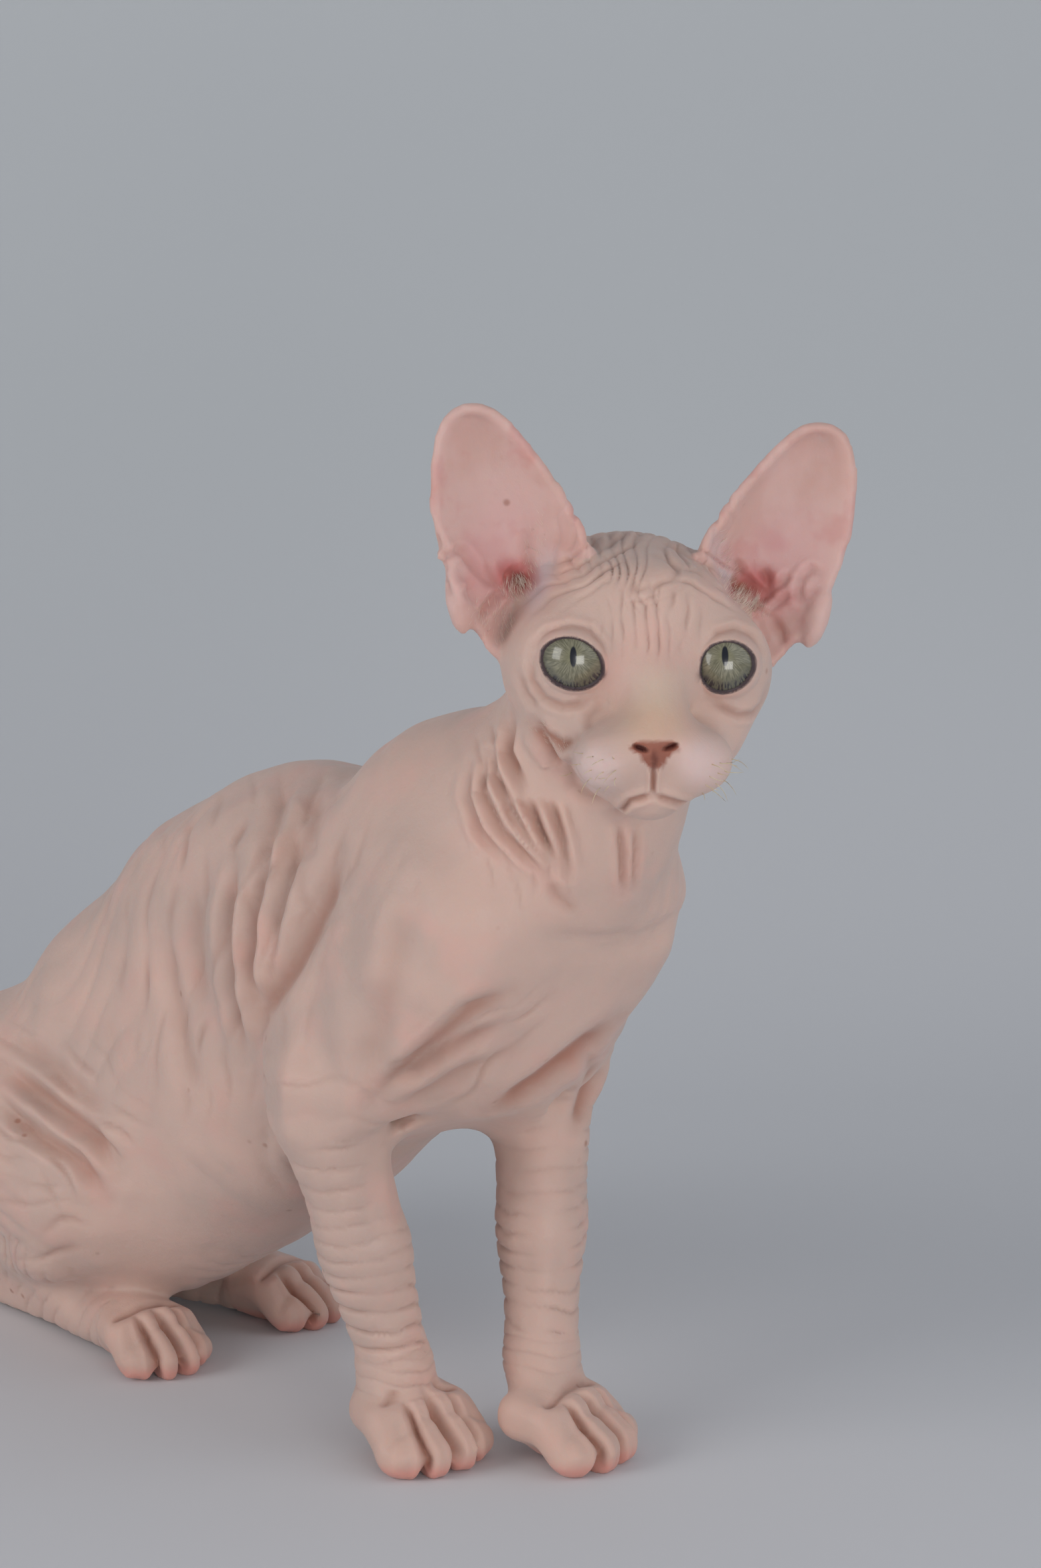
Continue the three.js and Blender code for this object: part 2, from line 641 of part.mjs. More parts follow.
function addHindleg(side) {
  const toes = HIND_TOES[side].place;
  const field = hindfootField(side);
  const span = side === 'right' ? [-24, 46] : [-46, 24];
  const far = v3(toes.x + span[1], toes.y + 104, 52);
  const leg = solidOf(facet(field, v3(toes.x + span[0], toes.y - 4, -4), far, LEG_FACET));
  const paw = solidOf(facet(field, ...roomRound(toes, v3(-22, -20, -4), v3(22, 30, 34)), PAW_FACET));
  const instep = { place: toes.clone().add(v3(0, 17, 0)), normal: v3(0, 1, 0) };
  addPiece(`thigh_${side}`, trunkSolid.intersect(thighCutter(side)).intersect(floorAndUp), SKIN);
  addPiece(`hindleg_lower_${side}`, leg.intersect(side3(instep)).intersect(floorAndUp)
    .subtract(trunkClear), SKIN);
  const bare = paw.intersect(side3(instep, -1)).intersect(floorAndUp).subtract(trunkClear);
  addPiece(`hindpaw_${side}`, withClaws(bare, hindPawFrame(side), HIND_PAW, `hind_${side}`), SKIN);
}

/** One length of the tail: rings around a stretch of the tail's curve, flattened by the floor. */
function tailLength(curve, from, to) {
  const rings = 5;
  const points = [];
  for (let ring = 0; ring <= rings; ring++) {
    const t = from + ((to - from) * ring) / rings;
    const centre = curve.getPoint(t);
    const along = curve.getTangent(t);
    const across = v3(along.y, -along.x, 0).normalize();
    const up = across.clone().cross(along).normalize();
    const radius = THREE.MathUtils.lerp(7.6, 2.1, t ** 0.8);
    for (let n = 0; n < TAIL_SIDES; n++) {
      const angle = (n / TAIL_SIDES) * Math.PI * 2;
      points.push(centre.clone().addScaledVector(across, radius * Math.cos(angle))
        .addScaledVector(up, radius * Math.sin(angle)));
    }
  }
  const index = [];
  for (let ring = 0; ring < rings; ring++) {
    for (let n = 0; n < TAIL_SIDES; n++) {
      const a = ring * TAIL_SIDES + n, b = ring * TAIL_SIDES + ((n + 1) % TAIL_SIDES);
      index.push(a, a + TAIL_SIDES, b, b, a + TAIL_SIDES, b + TAIL_SIDES);
    }
  }
  for (let n = 1; n < TAIL_SIDES - 1; n++) {
    const end = rings * TAIL_SIDES;
    index.push(0, n, n + 1, end, end + n + 1, end + n);
  }
  const geometry = closedGeometry(points, index);
  const solid = solidOf(geometry);
  return solid.volume() > 0 ? solid : solidOf(flipped(geometry));
}

function addTail() {
  const curve = new THREE.CatmullRomCurve3([
    TAIL_ROOT, v3(23, 243, 22), v3(31, 254, 6.2), v3(48, 257, 4.4), v3(68, 247, 3.5),
    v3(80, 228, 2.9), v3(84, 206, 2.4), v3(81, 186, 1.9),
  ]);
  const span = curve.getLength();
  for (let n = 0; n < TAIL_LENGTHS; n++) {
    const gap = n === 0 ? 0 : CUT_GAP / span;
    const solid = tailLength(curve, n / TAIL_LENGTHS + gap, (n + 1) / TAIL_LENGTHS);
    const clear = n === 0 ? solid.intersect(side3(TAIL_CUT)) : solid;
    addPiece(`tail_${n + 1}`, clear.intersect(floorAndUp), SKIN);
  }
}

/** Claws: short cones that lie half drawn in at the toe tips. Returns the paw with their sockets cut. */
function withClaws(pawSolid, frame, paw, name) {
  let rest = pawSolid;
  let number = 0;
  for (const way of [-1, 1]) {
    for (const [n, x] of paw.spread.entries()) {
      const reach = n === 0 ? -4.5 : -0.5;
      const clawAt = (grow) => {
        const claw = new THREE.ConeGeometry(CLAW_RADIUS + grow, CLAW_LENGTH + 2 * grow, 6);
        claw.rotateX(rad(112));
        claw.translate(way * (x + 0.6), reach - paw.toeRadius + 0.9, paw.toeRadius + 0.9);
        claw.applyMatrix4(frame);
        return solidOf(claw);
      };
      number++;
      addPiece(`claw_${name}_${number}`, clawAt(0), CLAW_HORN);
      rest = rest.subtract(clawAt(CUT_GAP));
    }
  }
  return rest;
}

addHead();
addTrunk();
for (const side of legSides) {
  addForeleg(side);
  addHindleg(side);
}
addTail();

// The origin goes to the middle of the floor under the kitten's own box
const box = new THREE.Box3().setFromObject(pieces);
const middle = box.getCenter(v3(0, 0, 0));
for (const piece of pieces.children) piece.geometry.translate(-middle.x, -middle.y, 0);

export default pieces;
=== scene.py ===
"""A life-size model of a young sphynx cat, sitting low on its haunches: skin, eyes, claws and sparse hair."""
import logging
import math
import random
from dataclasses import dataclass, field
from enum import Enum

import bmesh
import bpy
import numpy as np
from mathutils import Matrix, Vector
from mathutils.bvhtree import BVHTree


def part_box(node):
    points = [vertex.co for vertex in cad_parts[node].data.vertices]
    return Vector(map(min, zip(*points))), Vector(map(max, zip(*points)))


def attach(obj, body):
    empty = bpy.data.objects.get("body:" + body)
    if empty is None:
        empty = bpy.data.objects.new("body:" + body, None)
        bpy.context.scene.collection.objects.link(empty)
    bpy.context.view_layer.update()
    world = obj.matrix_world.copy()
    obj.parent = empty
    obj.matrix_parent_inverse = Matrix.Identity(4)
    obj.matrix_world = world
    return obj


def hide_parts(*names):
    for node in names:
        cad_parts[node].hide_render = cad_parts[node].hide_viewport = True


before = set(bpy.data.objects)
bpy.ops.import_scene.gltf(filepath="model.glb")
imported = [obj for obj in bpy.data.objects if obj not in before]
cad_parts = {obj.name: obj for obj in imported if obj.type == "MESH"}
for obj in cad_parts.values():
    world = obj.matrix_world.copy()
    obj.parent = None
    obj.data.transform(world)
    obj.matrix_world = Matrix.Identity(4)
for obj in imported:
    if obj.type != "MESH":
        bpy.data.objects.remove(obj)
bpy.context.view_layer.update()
LOG = logging.getLogger("sphynx")

MM = 0.001
PHOTO_WIDTH = 1568
PHOTO_HEIGHT = 2361
SIDES = ("right", "left")
WRINKLE_WIDTH = 0.24
TAIL_BEND = np.array([-2.0, 120.0])
LEATHER_MIDDLE = 986.5
LEATHER_ROWS = (1112, 1119, 1126, 1134, 1146, 1156, 1160)
LEATHER_HALF_WIDTHS = (18, 33, 37, 26, 16, 9, 3)
NOSTRIL_PLACES = (((965, 1127), 22), ((1010, 1125), -22))
FLESH = [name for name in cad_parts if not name.startswith(("eye_", "claw_"))]


def linear(red: int, green: int, blue: int) -> tuple[float, float, float, float]:
    """A colour as it looks on a screen, turned into the linear values that a shader takes.

    Args:
        red: Red from 0 to 255.
        green: Green from 0 to 255.
        blue: Blue from 0 to 255.

    Returns:
        Red, green, blue and an alpha of one.
    """
    out = []
    for value in (red, green, blue):
        share = value / 255
        out.append(share / 12.92 if share <= 0.04045 else ((share + 0.055) / 1.055) ** 2.4)
    return (out[0], out[1], out[2], 1.0)


def soft_step(values: np.ndarray, low: float, high: float) -> np.ndarray:
    """Rises smoothly from nought at low to one at high.

    Args:
        values: The numbers to look at.
        low: Where the rise starts.
        high: Where the rise ends.

    Returns:
        The share for each number, from nought to one.
    """
    share = np.clip((values - low) / (high - low), 0.0, 1.0)
    return share * share * (3.0 - 2.0 * share)


def drift(points: np.ndarray, size: float, seed: int) -> np.ndarray:
    """A slow random wave through space, the same each run.

    Args:
        points: Places, one row each, of two or three numbers.
        size: How far apart its swells lie, in the unit of the points.
        seed: Which wave.

    Returns:
        One number for each place, mostly between minus one and one.
    """
    rng = np.random.default_rng(seed)
    total = np.zeros(len(points))
    for _ in range(6):
        way = rng.normal(size=points.shape[1])
        way /= np.linalg.norm(way)
        turn = 2 * math.pi / (size * rng.uniform(0.7, 1.5))
        total += np.sin(points @ way * turn + rng.uniform(0, 2 * math.pi))
    return total / 2.6


def bell(values: np.ndarray, middle: float, width: float) -> np.ndarray:
    """A smooth bump, one at its middle and near nought beyond twice its width."""
    return np.exp(-(((values - middle) / width) ** 2))


def furrows(phase: np.ndarray, width: float) -> np.ndarray:
    """Narrow creases with broad smooth ridges between them.

    Args:
        phase: Place across the creases, where each whole number is one.
        width: How wide a crease is, as a share of the spacing.

    Returns:
        One on a ridge, nought in a crease.
    """
    return 1.0 - np.exp(-((np.sin(math.pi * phase) / (2.2 * width)) ** 2))


def deselect() -> None:
    """Leaves nothing selected, so that the next operator acts on its own piece."""
    for thing in bpy.context.selected_objects:
        thing.select_set(False)


def activate(thing: bpy.types.Object) -> None:
    """Makes one object the only selected and the active one."""
    deselect()
    thing.select_set(True)
    bpy.context.view_layer.objects.active = thing


def places(mesh: bpy.types.Mesh) -> np.ndarray:
    """The mesh's corners in millimetres, one row each."""
    flat = np.empty(len(mesh.vertices) * 3, dtype=np.float64)
    mesh.vertices.foreach_get("co", flat)
    return flat.reshape(-1, 3) / MM


def put_places(mesh: bpy.types.Mesh, points: np.ndarray) -> None:
    """Moves the mesh's corners.

    Args:
        mesh: The mesh to change.
        points: The new places in millimetres.
    """
    mesh.vertices.foreach_set("co", (points * MM).astype(np.float32).ravel())
    mesh.update()


def outward(mesh: bpy.types.Mesh) -> np.ndarray:
    """The direction that the surface faces at each corner."""
    flat = np.empty(len(mesh.vertices) * 3, dtype=np.float32)
    mesh.vertex_normals.foreach_get("vector", flat)
    return flat.reshape(-1, 3).astype(np.float64)


def keep_values(mesh: bpy.types.Mesh, name: str, values: np.ndarray) -> None:
    """Stores one number for each corner under a name that a material can read.

    Args:
        mesh: The mesh that carries the values.
        name: The attribute's name.
        values: One number for each corner.
    """
    layer = mesh.attributes.get(name) or mesh.attributes.new(name, "FLOAT", "POINT")
    layer.data.foreach_set("value", values.astype(np.float32))


@dataclass
class Shot:
    """The photograph's point of view, measured from the kitten's eyes."""

    lens: float = 87.83
    film: float = 36.0
    heading: float = -50.0
    pitch: float = 10.0
    offset: tuple[float, float, float] = (-679.2, -531.9, 123.7)
    place: np.ndarray = field(init=False)
    ahead: np.ndarray = field(init=False)
    right: np.ndarray = field(init=False)
    up: np.ndarray = field(init=False)

    def __post_init__(self) -> None:
        """Finds the camera's place and its three directions."""
        self.place = sum(eye_centre(side) for side in SIDES) / 2 + np.array(self.offset)
        turn, dip = math.radians(self.heading), math.radians(self.pitch)
        level = np.array([-math.sin(turn), math.cos(turn), 0.0])
        self.ahead = level * math.cos(dip) - np.array([0.0, 0.0, math.sin(dip)])
        self.right = np.array([math.cos(turn), math.sin(turn), 0.0])
        self.up = np.cross(self.right, self.ahead)

    @property
    def focal(self) -> float:
        """The focal length in pixels of the photograph."""
        return self.lens / self.film * PHOTO_HEIGHT

    def project(self, points: np.ndarray) -> tuple[np.ndarray, np.ndarray]:
        """Where points fall in the photograph.

        Args:
            points: Places in millimetres.

        Returns:
            Their pixels, and how far each is in front of the camera in millimetres.
        """
        rel = points - self.place
        far = rel @ self.ahead
        across = PHOTO_WIDTH / 2 + self.focal * (rel @ self.right) / far
        down = PHOTO_HEIGHT / 2 - self.focal * (rel @ self.up) / far
        return np.stack([across, down], axis=1), far

    def ray(self, pixel: tuple[float, float]) -> np.ndarray:
        """The direction from the camera through a pixel."""
        way = (
            self.ahead
            + self.right * (pixel[0] - PHOTO_WIDTH / 2) / self.focal
            - self.up * (pixel[1] - PHOTO_HEIGHT / 2) / self.focal
        )
        return way / np.linalg.norm(way)

    def build(self) -> None:
        """Adds the camera and makes it the scene's own."""
        data = bpy.data.cameras.new("photo_view")
        data.lens = self.lens
        data.sensor_width = self.film
        data.clip_end = 20.0
        camera = bpy.data.objects.new("photo_view", data)
        turned = Matrix([self.right, self.up, -self.ahead]).transposed().to_4x4()
        camera.matrix_world = Matrix.Translation(Vector(self.place * MM)) @ turned
        bpy.context.scene.collection.objects.link(camera)
        bpy.context.scene.camera = camera


def eye_centre(side: str) -> np.ndarray:
    """The middle of a CAD eyeball, in millimetres."""
    low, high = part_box(f"eye_{side}")
    return (np.array(low) + np.array(high)) / 2 / MM


@dataclass
class HeadFrame:
    """The head's own directions: x to the kitten's left, y to the back, z to the crown."""

    origin: np.ndarray = field(init=False)
    axes: np.ndarray = field(init=False)
    eye_recess: float = 1.2

    def __post_init__(self) -> None:
        """Reads the directions off the two eyeballs."""
        right, left = eye_centre("right"), eye_centre("left")
        side = (left - right) / np.linalg.norm(left - right)
        crown = np.array([0.0, 0.0, 1.0]) - side * side[2]
        crown /= np.linalg.norm(crown)
        back = np.cross(crown, side)
        self.axes = np.stack([side, back, crown])
        self.origin = (right + left) / 2 - back * self.eye_recess

    def local(self, points: np.ndarray) -> np.ndarray:
        """Places in the head's own millimetres."""
        return (points - self.origin) @ self.axes.T


@dataclass(frozen=True)
class Fold:
    """One crease of the skin, followed in pixels of the photograph."""

    line: tuple[tuple[float, float], ...]
    depth: float
    width: float
    ridge: float = 0.45
    # How dark the crease is painted along its line: painted shade in the crease.
    shade_tint: float = 1.0


class HeadFold(Enum):
    """The creases of the face and of the insides of the ears."""

    CHEEK = Fold(((799, 1090), (813, 1112), (840, 1147), (842, 1160)), 2.0, 1.3, 0.5)
    CHEEK_TUCK = Fold(((806, 1083), (826, 1106), (850, 1122), (868, 1112)), 1.2, 1.2)
    PAD_SIDE = Fold(((859, 1128), (856, 1155), (864, 1184), (888, 1203), (921, 1211)), 1.0, 1.5, 0.2, 0.4)
    LOWER_LID_RIGHT = Fold(
        ((799, 988), (802, 1025), (821, 1052), (848, 1064), (878, 1060), (899, 1050)), 0.75, 0.9, 0.6, 0.5
    )
    LOWER_RING_RIGHT = Fold(((783, 1012), (794, 1044), (813, 1066)), 0.6, 1.0, 0.5, 0.4)
    UPPER_LID_RIGHT = Fold(
        ((802, 971), (826, 952), (861, 944), (888, 950), (904, 972), (912, 996)), 0.7, 0.9, 0.6, 0.5
    )
    UPPER_LID_LEFT = Fold(
        ((1069, 971), (1082, 953), (1107, 947), (1130, 956), (1146, 979)), 0.7, 0.9, 0.6, 0.5
    )
    LOWER_LID_LEFT = Fold(
        ((1064, 1055), (1088, 1066), (1112, 1077), (1136, 1075), (1150, 1060), (1158, 1033)),
        0.7, 0.9, 0.6, 0.5,
    )
    UNDER_EYE = Fold(((886, 1103), (888, 1079), (910, 1055)), 0.5, 1.2, 0.3, 0.3)
    PHILTRUM = Fold(((984, 1154), (984, 1170), (983, 1198)), 1.0, 0.55, 0.5, 0.9)
    MOUTH_RIGHT = Fold(
        ((983, 1196), (964, 1202), (948, 1206), (937, 1219), (923, 1227)), 0.95, 0.75, 0.6, 0.8
    )
    MOUTH_LEFT = Fold(
        ((983, 1196), (1002, 1203), (1023, 1209), (1042, 1211), (1055, 1206)), 0.9, 0.75, 0.6, 0.7
    )
    CHIN = Fold(((931, 1233), (969, 1246), (1002, 1240), (1012, 1225)), 0.8, 1.6, 0.1, 0.3)
    EAR_POCKET_RIGHT = Fold(
        ((703, 836), (687, 827), (671, 845), (667, 867), (676, 893), (685, 903)), 1.0, 0.9, 0.8, 0.6
    )
    EAR_MARGIN_RIGHT = Fold(((653, 800), (664, 823), (676, 842)), 0.8, 0.8, 0.6, 0.7)
    EAR_CANAL_RIGHT = Fold(((759, 860), (776, 873), (792, 874)), 2.2, 2.2, 0.3, 1.0)
    EAR_NOTCH_RIGHT = Fold(((724, 931), (731, 915), (745, 899), (757, 886)), 1.5, 1.1, 0.5, 1.0)
    EAR_RIB_ONE_RIGHT = Fold(((746, 893), (731, 876), (716, 858), (700, 838), (688, 812)), 0.9, 1.1, 0.9, 0.7)
    EAR_RIB_TWO_RIGHT = Fold(((752, 890), (737, 865), (728, 845)), 0.8, 1.0, 0.8, 0.9)
    EAR_FRONT_RIGHT = Fold(((793, 790), (794, 820), (796, 850), (797, 875)), 0.8, 1.5, 0.4, 0.4)
    EAR_LOBE_RIGHT = Fold(((709, 905), (703, 893), (711, 884)), 0.8, 1.0, 0.8, 0.4)
    EAR_CANAL_LEFT = Fold(((1110, 890), (1122, 882), (1140, 888), (1152, 880)), 2.2, 2.2, 0.3, 1.0)
    EAR_ARC_LEFT = Fold(((1147, 853), (1158, 876), (1151, 899)), 1.3, 1.2, 0.7, 1.0)
    EAR_RIB_ONE_LEFT = Fold(((1138, 912), (1160, 898), (1182, 876), (1196, 858)), 1.0, 1.1, 0.9, 0.8)
    EAR_RIB_TWO_LEFT = Fold(((1152, 921), (1176, 905), (1198, 888)), 0.9, 1.0, 0.8, 0.7)
    EAR_POCKET_LEFT = Fold(
        ((1238, 866), (1222, 857), (1206, 872), (1204, 898), (1214, 912)), 1.0, 1.0, 0.8, 0.6
    )
    EAR_FRONT_LEFT = Fold(((1109, 838), (1113, 860), (1106, 884)), 1.2, 1.1, 0.4, 1.0)
    EAR_FOOT_LEFT = Fold(((1160, 927), (1174, 950), (1180, 972)), 1.0, 1.2, 0.5, 0.6)


class BodyFold(Enum):
    """The creases of the neck, the shoulders, the flanks and the thighs."""

    NECK_LONG = Fold(
        ((773, 1068), (767, 1133), (793, 1192), (814, 1251), (840, 1298), (850, 1316)), 1.9, 1.15, 0.8, 0.7
    )
    NECK_BACK = Fold(((738, 1133), (726, 1192), (755, 1251), (802, 1298), (826, 1322)), 1.6, 1.15, 0.8, 0.6)
    NECK_REAR = Fold(((712, 1150), (706, 1200), (722, 1250), (767, 1300)), 1.1, 1.3, 0.7, 0.4)
    NECK_THIN = Fold(((752, 1110), (746, 1165), (774, 1222), (806, 1275), (836, 1310)), 1.2, 0.9, 0.8, 0.5)
    NECK_FRONT = Fold(((822, 1172), (840, 1239), (852, 1290), (862, 1320)), 1.4, 1.05, 0.8, 0.6)
    THROAT_CORD = Fold(((932, 1239), (936, 1285), (938, 1345)), 0.9, 0.9, 0.9, 0.6)
    THROAT_INNER = Fold(((958, 1245), (956, 1285), (952, 1340)), 0.7, 0.9, 0.7, 0.5)
    CHEST_LINE = Fold(((826, 1322), (840, 1350), (870, 1375)), 0.7, 1.5, 0.4, 0.4)
    SHOULDER_BACK = Fold(((614, 1345), (590, 1475), (566, 1569), (560, 1652)), 1.3, 3.4, 0.5, 0.2)
    ARMPIT_TOP = Fold(((560, 1652), (625, 1593), (708, 1522), (773, 1493)), 1.6, 2.2, 0.6, 0.7)
    ARMPIT_MID = Fold(((590, 1634), (661, 1587), (755, 1534)), 1.4, 2.0, 0.6, 0.6)
    ARMPIT_LOW = Fold(((600, 1665), (680, 1620), (745, 1590)), 1.2, 2.0, 0.5, 0.4)
    BREAST_DARK = Fold(((732, 1681), (814, 1628), (873, 1581), (932, 1534)), 2.2, 2.4, 0.5, 1.0)
    BREAST_FAR = Fold(((867, 1699), (885, 1640), (897, 1581)), 1.8, 2.0, 0.5, 0.9)
    FLANK_ELBOW = Fold(((513, 1280), (490, 1357), (443, 1451), (395, 1522), (389, 1569)), 2.2, 2.6, 0.6, 0.7)
    FLANK_ONE = Fold(((407, 1274), (389, 1357), (378, 1451), (389, 1534)), 1.8, 1.45, 0.8, 0.5)
    FLANK_TWO = Fold(((354, 1290), (346, 1392), (352, 1475), (368, 1600)), 1.7, 1.45, 0.8, 0.5)
    FLANK_THREE = Fold(((448, 1230), (437, 1322), (410, 1430)), 1.6, 1.45, 0.8, 0.4)
    FLANK_FOUR = Fold(((295, 1333), (295, 1416), (307, 1522)), 1.3, 2.4, 0.7, 0.3)
    FLANK_FIVE = Fold(((254, 1416), (266, 1499), (277, 1581), (301, 1652)), 1.2, 2.6, 0.6, 0.3)
    LOIN_ONE = Fold(((480, 1190), (468, 1250), (440, 1320)), 1.2, 2.2, 0.6, 0.3)
    LOIN_TWO = Fold(((430, 1180), (415, 1240), (395, 1300)), 1.1, 2.2, 0.6, 0.3)
    THIGH_ONE = Fold(((0, 1605), (71, 1652), (142, 1711), (177, 1770)), 2.2, 2.4, 0.7, 0.6)
    THIGH_TWO = Fold(((0, 1664), (59, 1711), (118, 1746), (165, 1805)), 2.0, 2.2, 0.7, 0.6)
    THIGH_THREE = Fold(((10, 1560), (90, 1610), (160, 1680)), 1.2, 2.4, 0.6, 0.3)


@dataclass(frozen=True)
class Rings:
    """Rings of loose skin round one part of every leg, or round the tail."""

    part: str
    low: float
    high: float
    spacing: float
    strength: float
    seed: int


class LegRings(Enum):
    """Where rings lie, with the heights they lie between and their spacing in millimetres."""

    SHIN = Rings("foreleg_lower", 18, 92, 4.9, 0.55, 31)
    UPPER_ARM = Rings("foreleg_upper", 70, 112, 7.5, 0.4, 32)
    WRIST = Rings("forepaw", 13, 34, 3.4, 0.6, 33)
    HOCK = Rings("hindleg_lower", 4, 40, 4.8, 0.6, 34)
    TAIL = Rings("tail", 0, 60, 2.6, 0.35, 35)


@dataclass(frozen=True)
class Drape:
    """Shallow folds that hang side by side over some parts, and the direction across them."""

    parts: tuple[str, ...]
    across: tuple[float, float, float]
    spacing: float
    strength: float
    seed: int


class Drapes(Enum):
    """The shallow folds of the trunk, the thighs and the neck."""

    FLANK = Drape(("belly", "rump"), (0.0, 0.93, 0.36), 9.5, 0.6, 41)
    THIGH = Drape(("thigh",), (0.0, -0.45, 0.9), 8.0, 0.6, 42)
    NECK = Drape(("neck",), (0.7, 0.7, 0.1), 8.5, 0.25, 43)
    CHEST = Drape(("chest",), (0.3, 0.9, 0.3), 12.0, 0.35, 44)


@dataclass(frozen=True)
class Patch:
    """A soft oval of the photograph, in pixels, where something shows."""

    centre: tuple[float, float]
    reach: tuple[float, float]
    turn: float = 0.0

    def share(self, pixels: np.ndarray, edge: float = 0.35) -> np.ndarray:
        """How far each pixel lies inside the oval.

        Args:
            pixels: Pixels, one row each.
            edge: The part of the reach over which it fades.

        Returns:
            One inside, nought outside.
        """
        slant = math.radians(self.turn)
        rel = pixels - np.array(self.centre)
        along = rel[:, 0] * math.cos(slant) + rel[:, 1] * math.sin(slant)
        across = -rel[:, 0] * math.sin(slant) + rel[:, 1] * math.cos(slant)
        gone = np.hypot(along / self.reach[0], across / self.reach[1])
        return 1.0 - soft_step(gone, 1.0 - edge, 1.0 + edge)


WHISKER_PADS = (Patch((893, 1170), (44, 46)), Patch((1064, 1162), (38, 44)))
# The groove under the nose is painted dark: painted shade.
PHILTRUM_SHADE = Patch((986, 1143), (4.5, 13))


@dataclass(frozen=True)
class Stain:
    """Soft ovals of the photograph where the skin has a colour of its own."""

    patches: tuple[Patch, ...]
    edge: float

    def share(self, pixels: np.ndarray) -> np.ndarray:
        """How much of the colour shows at each pixel."""
        return np.max([patch.share(pixels, self.edge) for patch in self.patches], axis=0)


class Stains(Enum):
    """The coloured places of the face and the ears, each named as its attribute is."""

    EAR_PINK = Stain((Patch((745, 830), (52, 78), 15), Patch((1180, 850), (60, 78), 25)), 0.6)
    EAR_RED = Stain((Patch((776, 868), (32, 26)), Patch((1135, 882), (34, 26), -15)), 0.5)
    # The ear canals' dark red is the ear's red skin darkened as painted shade in the hollow.
    CANAL_SHADE = Stain((Patch((783, 873), (15, 10)), Patch((1110, 888), (10, 8))), 0.6)
    BRIDGE = Stain((Patch((994, 1038), (34, 32)),), 0.8)
    BRIDGE_TAN = Stain((Patch((985, 1085), (50, 34)),), 0.7)
    PAD = Stain((Patch((895, 1160), (36, 34)), Patch((1060, 1150), (36, 34))), 0.6)
    LILAC = Stain((Patch((815, 870), (16, 46), 18), Patch((1090, 850), (14, 44), -18)), 0.7)


@dataclass(frozen=True)
class Wrinkles:
    """Parallel wandering wrinkles that fill an oval of the photograph."""

    patch: Patch
    slant: float
    spacing: float
    warp: float
    height: float
    seed: int

    def wave(self, pixels: np.ndarray) -> np.ndarray:
        """How high the wrinkles stand at each pixel, from nought in a crease to one on a ridge."""
        way = np.array([math.cos(math.radians(self.slant)), math.sin(math.radians(self.slant))])
        phase = pixels @ way / self.spacing + self.warp * drift(pixels, self.spacing * 5.0, self.seed)
        phase += 0.3 * self.warp * drift(pixels, self.spacing * 2.2, self.seed + 50)
        return furrows(phase, WRINKLE_WIDTH)


class BrowWrinkles(Enum):
    """The wrinkles of the forehead."""

    BROW = Wrinkles(Patch((978, 935), (78, 52)), 2.0, 19.0, 0.3, 0.6, 11)
    CROWN = Wrinkles(Patch((975, 850), (66, 62)), 3.0, 19.0, 0.6, 0.9, 12)
    SQUIGGLES = Wrinkles(Patch((978, 868), (50, 42)), 84.0, 27.0, 0.9, 0.45, 15)
    TO_RIGHT_EAR = Wrinkles(Patch((880, 862), (92, 34), -33), 62.0, 17.0, 0.28, 0.9, 13)
    TO_LEFT_EAR = Wrinkles(Patch((1075, 872), (88, 32), 33), 118.0, 17.0, 0.28, 0.9, 14)


class BodyWrinkles(Enum):
    """The fine rows of the flank, the thigh, the neck and the shoulder."""

    FLANK = Wrinkles(Patch((330, 1400), (150, 250), 8), 8.0, 38.0, 0.25, 0.75, 61)
    SHOULDER = Wrinkles(Patch((455, 1330), (70, 190), 22), 24.0, 34.0, 0.2, 0.5, 62)
    THIGH = Wrinkles(Patch((85, 1680), (130, 110), 40), 130.0, 34.0, 0.35, 1.1, 63)
    NECK = Wrinkles(Patch((785, 1215), (80, 140), -12), -16.0, 27.0, 0.2, 0.6, 64)
    ARMPIT = Wrinkles(Patch((700, 1580), (130, 60), -30), 55.0, 30.0, 0.4, 0.8, 65)
    KNEE = Wrinkles(Patch((40, 1850), (90, 70)), 95.0, 34.0, 0.4, 0.8, 66)


